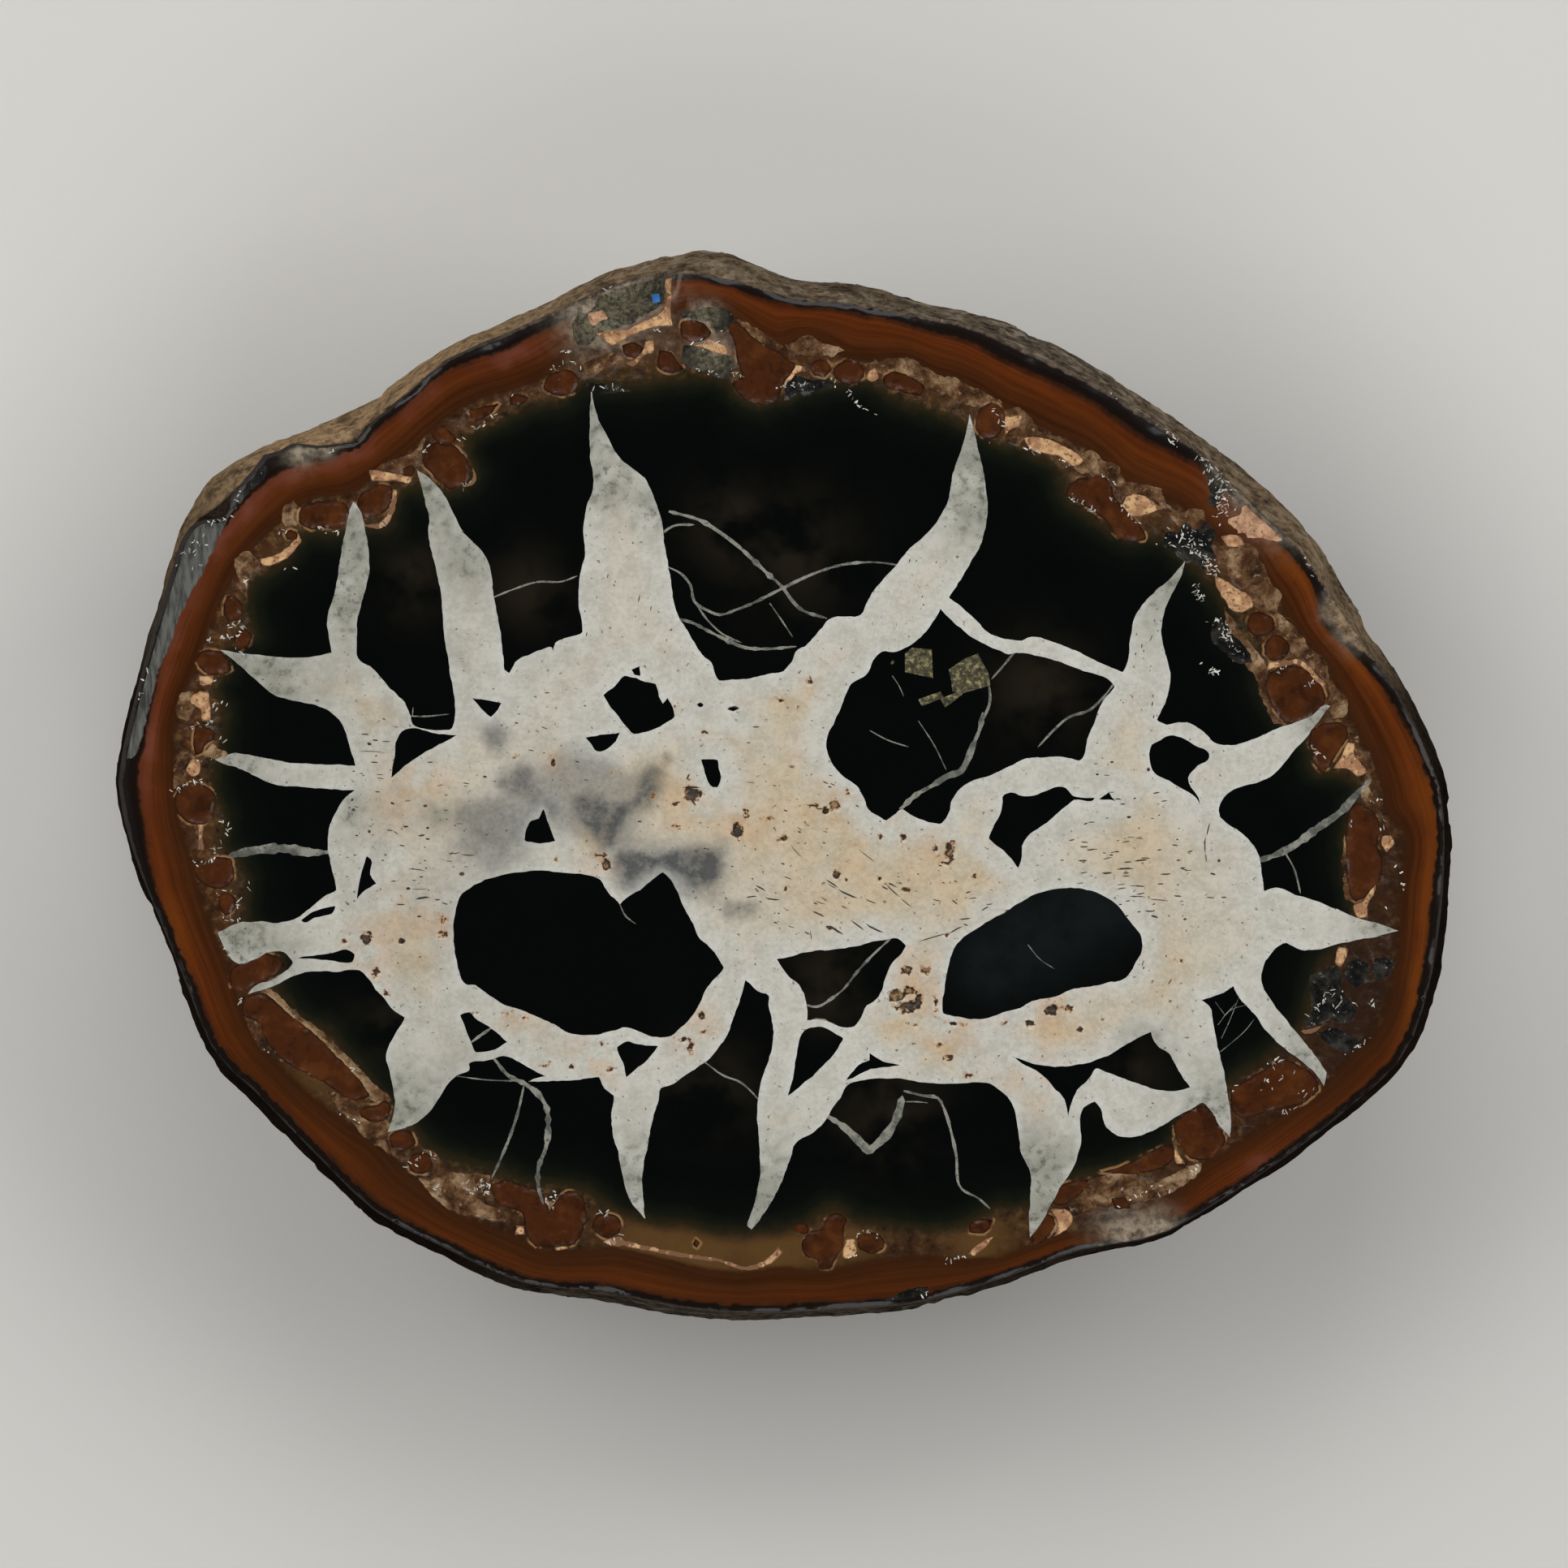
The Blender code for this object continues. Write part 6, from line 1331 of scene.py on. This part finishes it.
raggedEdge = maskGroup("ragged edge", raggedMask, Field=0.0, Size=1.0, Wander=0.2, Soft=0.1)
lipLine = maskGroup("lip line", lipMask, Away=0.0)
specks = maskGroup("specks", speckMask, Size=0.5, Share=0.3)

# Materials. Colours are screen colours, 0 to 255, and a noise's size is in millimetres
limestoneLook = {
    "rings": [(-1.0, (4, 6, 5)), (-0.45, (7, 10, 7)), (-0.2, (18, 20, 13)), (0.0, (40, 33, 18)),
              (0.3, (64, 42, 20)), (0.7, (64, 37, 16)), (0.95, (52, 29, 12)), (1.1, (63, 33, 14)),
              (1.5, (83, 41, 15)), (1.78, (97, 46, 16)), (1.88, (84, 41, 18)), (1.98, (50, 28, 16)),
              (2.1, (25, 17, 13)), (2.5, (25, 20, 18)), (3.0, (38, 32, 31))],
    "coreBrown": (32, 27, 20), "slate": (20, 24, 24), "golden": (88, 62, 30), "dim": (50, 29, 12),
    "ground": (38, 22, 13), "rosyAndSheen": (106, 60, 46), "orange": (118, 62, 18), "grit": (100, 72, 42),
    "dirt": (26, 15, 7), "lip": (132, 100, 66), "dust": ((86, 78, 65), (152, 137, 117)),
    "layers": ((204, 200, 196), (255, 255, 255)), "skin": (22, 17, 15),
    "tan": ((48, 37, 28), (90, 76, 60)), "tanPale": (138, 120, 96),
}


def limestoneMaterial():
    look = limestoneLook
    paint = Paint("black_limestone", specular=0.25)
    rings = paint.field("across")
    broad, mid = paint.noise(7.0, 3.0), paint.noise(2.4, 5.0, 0.6)
    small, fine = paint.noise(0.9, 5.0, 0.65), paint.noise(0.35, 4.0, 0.6)
    stirred = rings + (mid - 0.5) * 0.3 + (small - 0.5) * 0.16
    stops = [((place + 1) / 4, shade) for place, shade in look["rings"]]
    paint.base = paint.ramp((stirred + 1.0) / 4.0, stops)
    paint.coat(paint.field("brownish") * paint.noise(5.0, 3.0).between(0.35, 0.62), look["coreBrown"])
    paint.coat(paint.field("slate") * mid.between(0.3, 0.6, 0.6, 1.0), look["slate"])
    # faint layers that follow the rings
    ringPlace = add(paint.tree, "ShaderNodeCombineXYZ", {"Z": rings * 9.0}).outputs[0]
    layerPlace = paint.vector("ADD", paint.vector("SCALE", paint.where, Scale=0.06), ringPlace)
    layers = paint.noise(1.0, 3.0, 0.6, where=layerPlace).between(0.3, 0.7)
    paint.coat(rings.between(0.9, 1.2), paint.mixed(layers, *look["layers"]), "MULTIPLY")
    # the rusty band
    inBand = stirred.between(1.4, 1.8) * stirred.between(2.0, 1.9)
    wholeBand = stirred.between(0.95, 1.2) * stirred.between(2.05, 1.95)
    paint.coat(wholeBand * paint.field("dim") * 0.45, look["dim"])
    # rosy outer half of the band: partly pink tone, partly a painted pinkish sheen
    paint.coat(inBand * paint.field("rosyAndSheen") * mid.between(0.35, 0.65, 0.3, 0.85), look["rosyAndSheen"])
    paint.coat(inBand * paint.field("orange") * 0.45, look["orange"])
    # the gritty ring inside it
    inRing = rings.between(-0.05, 0.12) * rings.between(1.02, 0.85)
    golden = paint.field("golden")
    gritty = inRing * (1.0 - golden * 0.85)
    paint.coat(inRing * golden * rings.between(0.0, 0.35), look["golden"])
    paint.coat(gritty * small.between(0.5, 0.66) * 0.7, look["grit"])
    paint.coat(gritty * small.between(0.47, 0.34) * 0.85, look["dirt"])
    paint.coat(gritty * paint.field("dim") * 0.45, look["dirt"])
    paint.coat(inRing * paint.field("darker") * 0.65, look["ground"])
    paint.lips(look["lip"])
    # dust, and the skin at the rim
    dusty = paint.field("dusty") * mid.between(0.3, 0.44) * rings.between(0.2, 0.5)
    paint.coat(dusty, paint.mixed(small.between(0.36, 0.62), *look["dust"]))
    outside = stirred.between(2.66, 2.84)
    skin = paint.mixed(small.between(0.38, 0.6), *look["tan"])
    skin = paint.mixed(fine.between(0.6, 0.72), skin, look["tanPale"])
    skin = paint.mixed(paint.field("darkSkin") * 0.92, skin, look["skin"])
    paint.coat(outside, skin)
    roughness = inRing * 0.1 + 0.1 + broad * 0.06 + outside.atLeast(dusty) * 0.45
    return paint.finished(roughness, paint.noise(0.5, 4.0, 0.6) * inRing.atLeast(outside * 0.4), 0.045)


def vugMaterial():
    # smooth brown chalcedony, darker round its edge
    paint = Paint("brown_chalcedony", specular=0.3)
    mid, small = paint.noise(1.6), paint.noise(0.5, 4.0, 0.6)
    paint.base = paint.mixed(paint.field("ringVug").between(0.0, 0.2), (32, 16, 6), (66, 33, 12))
    paint.coat(mid.between(0.5, 0.68) * 0.55, (92, 50, 20))
    paint.coat(mid.between(0.46, 0.34) * 0.6, (36, 18, 7))
    paint.coat(small.between(0.66, 0.76) * 0.5, (126, 86, 50))
    return paint.finished(small.between(0.3, 0.7, 0.12, 0.24), mid, 0.05)


def peachMaterial():
    paint = Paint("peach_calcite", specular=0.15)
    mid, small = paint.noise(1.2, 4.0, 0.6), paint.noise(0.4, 4.0, 0.65)
    paint.base = paint.mixed(mid.between(0.38, 0.62), (156, 112, 80), (206, 166, 120))
    # pale flecks: partly pale grains, partly painted highlights
    paint.coat(small.between(0.6, 0.74) * 0.8, (226, 196, 156))
    paint.coat(small.between(0.47, 0.36) * 0.85, (96, 64, 40))
    paint.coat(paint.field("peachDepth").between(0.1, 0.0), (118, 84, 58))
    return paint.finished(0.4, small, 0.12)


def crustMaterial():
    paint = Paint("tan_crust", specular=0.1)
    mid, small = paint.noise(2.2, 6.0, 0.65, 0.4), paint.noise(0.6, 5.0, 0.65)
    paint.base = paint.ramp(mid, [(0.36, (38, 23, 12)), (0.46, (76, 48, 25)), (0.54, (108, 80, 54)),
                                  (0.66, (158, 132, 102))])
    paint.coat(small.between(0.47, 0.34) * 0.75, (34, 22, 13))
    paint.coat(small.between(0.58, 0.7) * 0.6, (172, 142, 108))
    paint.lips((156, 128, 94))
    return paint.finished(small.between(0.3, 0.7, 0.7, 0.45), small, 0.25)


def pinkMaterial():
    paint = Paint("pink_crust", specular=0.1)
    mid, small = paint.noise(1.2, 4.0, 0.6), paint.noise(0.36, 4.0, 0.65)
    paint.base = paint.mixed(mid.between(0.36, 0.62), (152, 114, 88), (204, 162, 128))
    paint.coat(small.between(0.46, 0.34) * 0.7, (84, 62, 48))
    return paint.finished(0.6, small, 0.2)


def glassMaterial():
    # fresh, splintery breaks, grey to olive, with a paler streaked strip on the left
    paint = Paint("grey_glassy_stone", specular=0.08)
    mid, small = paint.noise(1.5, 5.0, 0.65), paint.noise(0.4, 4.0, 0.65, 0.4)
    paint.base = paint.mixed(mid.between(0.44, 0.64), (12, 13, 13), (46, 43, 38))
    paint.coat(small.between(0.62, 0.7) * 0.85, (132, 126, 116))
    paint.coat(small.between(0.46, 0.36) * 0.85, (14, 14, 11))
    dust = paint.mixed(small.between(0.36, 0.62), (56, 55, 44), (116, 108, 88))
    paint.coat(paint.field("dusty") * 0.85, dust)
    x, y, _ = paint.axes()
    onStrip = x.between(-43.5, -45.5) * y.between(0.0, 2.0)
    streaks = paint.noise(1.0, 4.0, 0.6, where=paint.vector("MULTIPLY", paint.where, (2.4, 0.35, 1.0)))
    paint.coat(onStrip * 0.9, paint.mixed(streaks.between(0.36, 0.64), (55, 56, 53), (100, 101, 96)))
    paint.lips((140, 130, 110))
    return paint.finished(small.between(0.3, 0.7, 0.3, 0.16), mid + small, 0.05)


calciteLook = {
    "white": (199, 197, 187), "cream": (200, 183, 155), "warm": (200, 172, 136), "grey": (72, 75, 76),
    "shade": (150, 146, 134), "tip": (144, 145, 133), "tipDark": (84, 84, 74), "vug": (72, 50, 23),
    "vugGold": (146, 112, 66), "vugDeep": (26, 15, 5), "gold": (174, 124, 68), "speck": (96, 78, 56),
    "rust": (196, 148, 96), "lip": (206, 207, 202), "grain": ((230, 229, 226), (255, 255, 255)),
}


def calciteMaterial():
    look = calciteLook
    paint = Paint("cream_calcite")
    depth, creamy, pit = paint.field("calciteDepth"), paint.field("creamy"), paint.field("smallVug")
    broad, mid = paint.noise(5.0, 3.0, 0.5, 0.3), paint.noise(2.6, 2.0, 0.5)
    small = paint.noise(0.4, 4.0, 0.65)
    inward = depth + (broad - 0.5) * 4.5
    paint.base = paint.mixed(inward.between(0.8, 3.2) * (creamy * 0.75 + 0.25), look["white"], look["cream"])
    paint.coat(depth.between(0.7, 0.1, 0.0, 0.55), look["lip"])
    paint.coat(mid.between(0.48, 0.7) * (creamy * 0.26), look["warm"])
    paint.coat(mid.between(0.5, 0.32) * 0.2, look["white"])
    leftShade = paint.axes()[0].between(-12.0, -26.0) * broad.between(0.3, 0.65, 0.06, 0.38)
    paint.coat(leftShade * (1.0 - paint.field("bright")), look["shade"])
    paint.coat(paint.field("rust") * mid.between(0.38, 0.6) * 0.36, look["rust"])
    clouds = paint.field("cloud") * paint.noise(1.4, 6.0, 0.7).between(0.3, 0.66, 0.78, 1.16)
    paint.coat((clouds * depth.between(0.1, 0.6, 0.8, 1.0)).atMost(0.95), look["grey"])
    tips = paint.field("tips")
    paint.coat(tips * mid.between(0.3, 0.6, 0.3, 0.85), look["tip"])
    paint.coat(paint.noise(0.8, 6.0, 0.7).between(0.46, 0.66, 0.0, 0.85) * tips, look["tipDark"])
    paint.coat(paint.mask(specks, Size=0.5, Share=0.12) * 0.8, look["speck"])
    mottle = small * 0.5 + paint.noise(1.4, 5.0, 0.6, 0.5) * 0.5
    paint.coat(1.0, paint.mixed(mottle.between(0.36, 0.62), *look["grain"]), "MULTIPLY")
    # the small vugs, rimmed with gold
    paint.coat(paint.mask(raggedEdge, Field=pit, Size=0.5, Wander=0.6, Soft=0.08) * 0.85, look["gold"])
    vug = paint.mask(raggedEdge, Field=pit - 0.08, Size=0.5, Wander=0.6, Soft=0.03)
    hollow = paint.mixed(paint.noise(0.7, 3.0, 0.6).between(0.45, 0.56), look["vugDeep"], look["vug"])
    hollow = paint.mixed(paint.noise(0.8, 4.0, 0.65, 0.4).between(0.5, 0.58), hollow, look["vugGold"])
    paint.coat(vug, paint.mixed(pit.between(0.24, 0.12), hollow, look["vugDeep"]))
    return paint.finished(vug * 0.25 + mid * 0.2 + 0.16, small + vug * -2.0, 0.02)


def fineVeinMaterial():
    paint = Paint("fine_vein")
    mid, small = paint.noise(1.3, 4.0, 0.6), paint.noise(0.3, 4.0, 0.65)
    paint.base = paint.mixed(mid.between(0.36, 0.62), (84, 86, 80), (140, 139, 129))
    paint.coat(small.between(0.46, 0.34) * 0.7, (30, 31, 27))
    return paint.finished(0.2)


def cleavageMaterial():
    paint = Paint("cleavage_line")
    paint.base = paint.mixed(paint.noise(2.0).between(0.35, 0.65), (68, 44, 22), (24, 18, 12))
    return paint.finished(0.5)


def pyriteMaterial():
    paint = Paint("pyrite")
    coarse = paint.noise(0.5, 5.0, 0.7)
    paint.base = paint.ramp(coarse, [(0.3, (24, 22, 14)), (0.5, (64, 60, 40)), (0.72, (168, 158, 112))])
    paint.shader.inputs["Metallic"].default_value = 0.6
    return paint.finished(coarse.between(0.3, 0.7, 0.5, 0.28), paint.noise(0.35, 4.0, 0.7), 0.12)


rindLook = {
    "broad": [(0.34, (60, 46, 34)), (0.46, (72, 66, 58)), (0.56, (92, 78, 62)), (0.7, (72, 66, 58))],
    "pale": (132, 116, 94), "dark": (30, 24, 19), "skin": (23, 17, 14), "chalk": (150, 141, 125),
    "tan": ((56, 50, 43), (106, 96, 83)), "warm": ((114, 94, 70), (174, 145, 110)),
}


def rindMaterial():
    look = rindLook
    paint = Paint("rough_rind", specular=0.0)
    mid, small, blotch = paint.noise(3.5, 6.0, 0.65), paint.noise(0.7, 5.0, 0.7), paint.noise(1.9, 6.0, 0.68)
    paint.base = paint.ramp(paint.noise(14.0, 4.0, 0.6), look["broad"])
    paint.coat(mid.between(0.56, 0.7), look["pale"])
    paint.coat(mid.between(0.46, 0.34), look["dark"])
    paint.coat(small.between(0.52, 0.4) * 0.65, look["dark"])
    paint.coat(paint.field("darkSkin") * 0.92, look["skin"])
    tan = paint.mixed(small.between(0.36, 0.62), *look["tan"])
    tan = paint.mixed(blotch.between(0.5, 0.62, 0.0, 0.8), tan, look["chalk"])
    tan = paint.mixed(paint.field("warmSkin"), tan, paint.mixed(small.between(0.34, 0.6), *look["warm"]))
    tan = paint.mixed(blotch.between(0.46, 0.34, 0.0, 0.6), tan, look["dark"])
    paint.coat(paint.field("tanSkin") * mid.between(0.34, 0.5, 0.4, 1.0), tan)
    return paint.finished(small.between(0.3, 0.7, 0.8, 0.55), mid * 1.6 + small, 0.3)


def speckMaterial():
    paint = Paint("blue_speck")
    paint.base = paint.mixed(paint.noise(0.3), (20, 70, 150), (50, 140, 220))
    return paint.finished(0.4)


def paintedGlintCrystalMaterial():
    # pale crystal colour: partly the crystals' own white, partly a painted highlight for the glints
    paint = Paint("crystals_and_painted_glints")
    paint.base = paint.mixed(paint.noise(0.8).between(0.35, 0.65), (150, 142, 128), (226, 224, 216))
    return paint.finished(0.16)


for make in (limestoneMaterial, calciteMaterial, pyriteMaterial, rindMaterial, speckMaterial,
             cleavageMaterial, vugMaterial, peachMaterial, crustMaterial, glassMaterial, fineVeinMaterial,
             pinkMaterial):
    mesh.materials.append(make())
print("materials made:", len(mesh.materials))

# Tiny pale crystals along the lips and in the broken places; their white is partly their own colour and
# partly a painted highlight standing in for glints
crystals = {"size": 0.2, "jitter": 0.13, "spacing": 0.17, "share": 0.62, "seed": 5,
            "castFrom": 60, "tilt": 0.3, "smallest": (0.3, 0.12, 0.15), "largest": (1.6, 0.42, 0.4)}
surface = BVHTree.FromPolygons([Vector((x, y, z)) for (x, y), z in zip(cutPoints, cutLevels)],
                               [tuple(int(v) for v in t) for t in cutTriangles])
spots = []
for line in glintLines:
    path = smoothLine(line, crystals["spacing"], closed=False)
    spots += [(x + picker.gauss(0, crystals["jitter"]), y + picker.gauss(0, crystals["jitter"]))
              for x, y in path if picker.random() < crystals["share"]]
for x, y, halfLength, halfWidth, degrees, count in glitterPatches:
    c, s = math.cos(math.radians(degrees)), math.sin(math.radians(degrees))
    for k in range(count):
        a, b = picker.gauss(0, halfLength / 2), picker.gauss(0, halfWidth / 2)
        spots.append((x + a * c - b * s, y + a * s + b * c))
hits = [surface.ray_cast(Vector((x, y, crystals["castFrom"])), Vector((0, 0, -1)))[0] for x, y in spots]
places = [(x * mm, y * mm, hit.z * mm) for (x, y), hit in zip(spots, hits) if hit is not None]

crystalTree = bpy.data.node_groups.new("crystal lining", "GeometryNodeTree")
crystalTree.interface.new_socket("Geometry", in_out="INPUT", socket_type="NodeSocketGeometry")
sizeInput = crystalTree.interface.new_socket("Crystal Size", in_out="INPUT", socket_type="NodeSocketFloat")
seedInput = crystalTree.interface.new_socket("Seed", in_out="INPUT", socket_type="NodeSocketInt")
crystalTree.interface.new_socket("Geometry", in_out="OUTPUT", socket_type="NodeSocketGeometry")
given, out = crystalTree.nodes.new("NodeGroupInput").outputs, crystalTree.nodes.new("NodeGroupOutput").inputs
ball = add(crystalTree, "GeometryNodeMeshIcoSphere", {"Radius": given["Crystal Size"], "Subdivisions": 1})
tilt = crystals["tilt"]
spin = add(crystalTree, "FunctionNodeRandomValue", {0: (-tilt, -tilt, 0), 1: (tilt, tilt, math.tau),
                                                    "Seed": given["Seed"]}, data_type="FLOAT_VECTOR")
stretch = add(crystalTree, "FunctionNodeRandomValue", {0: crystals["smallest"], 1: crystals["largest"],
                                                       "Seed": given["Seed"]}, data_type="FLOAT_VECTOR")
spread = add(crystalTree, "GeometryNodeInstanceOnPoints", {
    "Points": given["Geometry"], "Instance": ball.outputs["Mesh"], "Rotation": spin.outputs[0],
    "Scale": stretch.outputs[0]})
real = add(crystalTree, "GeometryNodeRealizeInstances", {"Geometry": spread.outputs[0]})
painted = add(crystalTree, "GeometryNodeSetMaterial", {
    "Geometry": real.outputs[0], "Material": paintedGlintCrystalMaterial()})
put(out["Geometry"], painted.outputs[0])

seedMesh = bpy.data.meshes.new("crystal_places")
seedMesh.from_pydata(places, [], [])
seedObject = placed("crystal_places", seedMesh)
modifier = seedObject.modifiers.new("crystals", "NODES")
modifier.node_group = crystalTree
modifier[sizeInput.identifier] = crystals["size"] * mm
modifier[seedInput.identifier] = crystals["seed"]
bpy.context.view_layer.update()
evaluated = seedObject.evaluated_get(bpy.context.evaluated_depsgraph_get())
crystalMesh = bpy.data.meshes.new_from_object(evaluated)
seedObject.modifiers.clear()
bpy.data.objects.remove(seedObject)
crystalMesh.name = "crystals_and_painted_glints"
crystalsAndPaintedGlints = placed("crystals_and_painted_glints", crystalMesh)
print("crystals:", len(places), "with", triangleCount(crystalMesh), "triangles")

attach(polishedNodule, "root")
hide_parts("nodule")
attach(crystalsAndPaintedGlints, "root")

# Floor, lights and camera, lengths in metres
studio = {"floorHalf": 1.5, "floorShade": (214, 212, 208), "floorLevel": -0.00005, "roomLight": 0.045,
          "roomColour": (0.9, 0.95, 1.0, 1.0), "lens": 900.0, "sensor": 36.0, "pixelsPerMm": 15.0,
          "pixels": 1932, "middlePixel": (965.0, 966.0)}
half = studio["floorHalf"]
floorMesh = bpy.data.meshes.new("floor")
floorCorners = [(-half, -half, 0), (half, -half, 0), (half, half, 0), (-half, half, 0)]
floorMesh.from_pydata(floorCorners, [], [(0, 1, 2, 3)])
floor = placed("floor", floorMesh)
floorPaint = Paint("pale_floor")
floorPaint.base = studio["floorShade"]
floorMesh.materials.append(floorPaint.finished(0.8))
floor.location.z = studio["floorLevel"]

world = bpy.data.worlds.new("studio")
world.use_nodes = True
world.node_tree.nodes["Background"].inputs["Color"].default_value = studio["roomColour"]
world.node_tree.nodes["Background"].inputs["Strength"].default_value = studio["roomLight"]
bpy.context.scene.world = world

# Softboxes: degrees round, degrees up, distance, size, watts, colour
softboxes = [(160, 52, 0.8, 0.5, 2.4, (1.0, 0.98, 0.95)), (20, 50, 0.8, 0.5, 2.2, (1.0, 0.985, 0.96)),
             (90, 56, 0.8, 0.45, 1.8, (0.97, 0.985, 1.0)), (270, 54, 0.8, 0.45, 1.7, (0.98, 0.99, 1.0))]
for number, (turn, up, distance, size, watts, tint) in enumerate(softboxes):
    light = bpy.data.lights.new(f"softbox_{number}", "AREA")
    light.shape, light.size, light.energy, light.color = "SQUARE", size, watts, tint
    lamp = placed(f"softbox_{number}", light)
    a, e = math.radians(turn), math.radians(up)
    lamp.location = Vector((math.cos(a) * math.cos(e), math.sin(a) * math.cos(e), math.sin(e))) * distance
    lamp.rotation_euler = (-lamp.location).to_track_quat("-Z", "Y").to_euler()
    lamp.visible_camera = False

camera = placed("camera", bpy.data.cameras.new("camera"))
camera.data.lens, camera.data.sensor_width, camera.data.clip_end = studio["lens"], studio["sensor"], 10
seenWidth = studio["pixels"] / studio["pixelsPerMm"] * mm
middle = [(studio["pixels"] / 2 - p) / studio["pixelsPerMm"] * mm for p in studio["middlePixel"]]
camera.location = (middle[0], -middle[1], faceLevel * mm + seenWidth * studio["lens"] / studio["sensor"])
bpy.context.scene.camera = camera
bpy.context.scene.view_settings.view_transform = "Standard"
print("studio set")
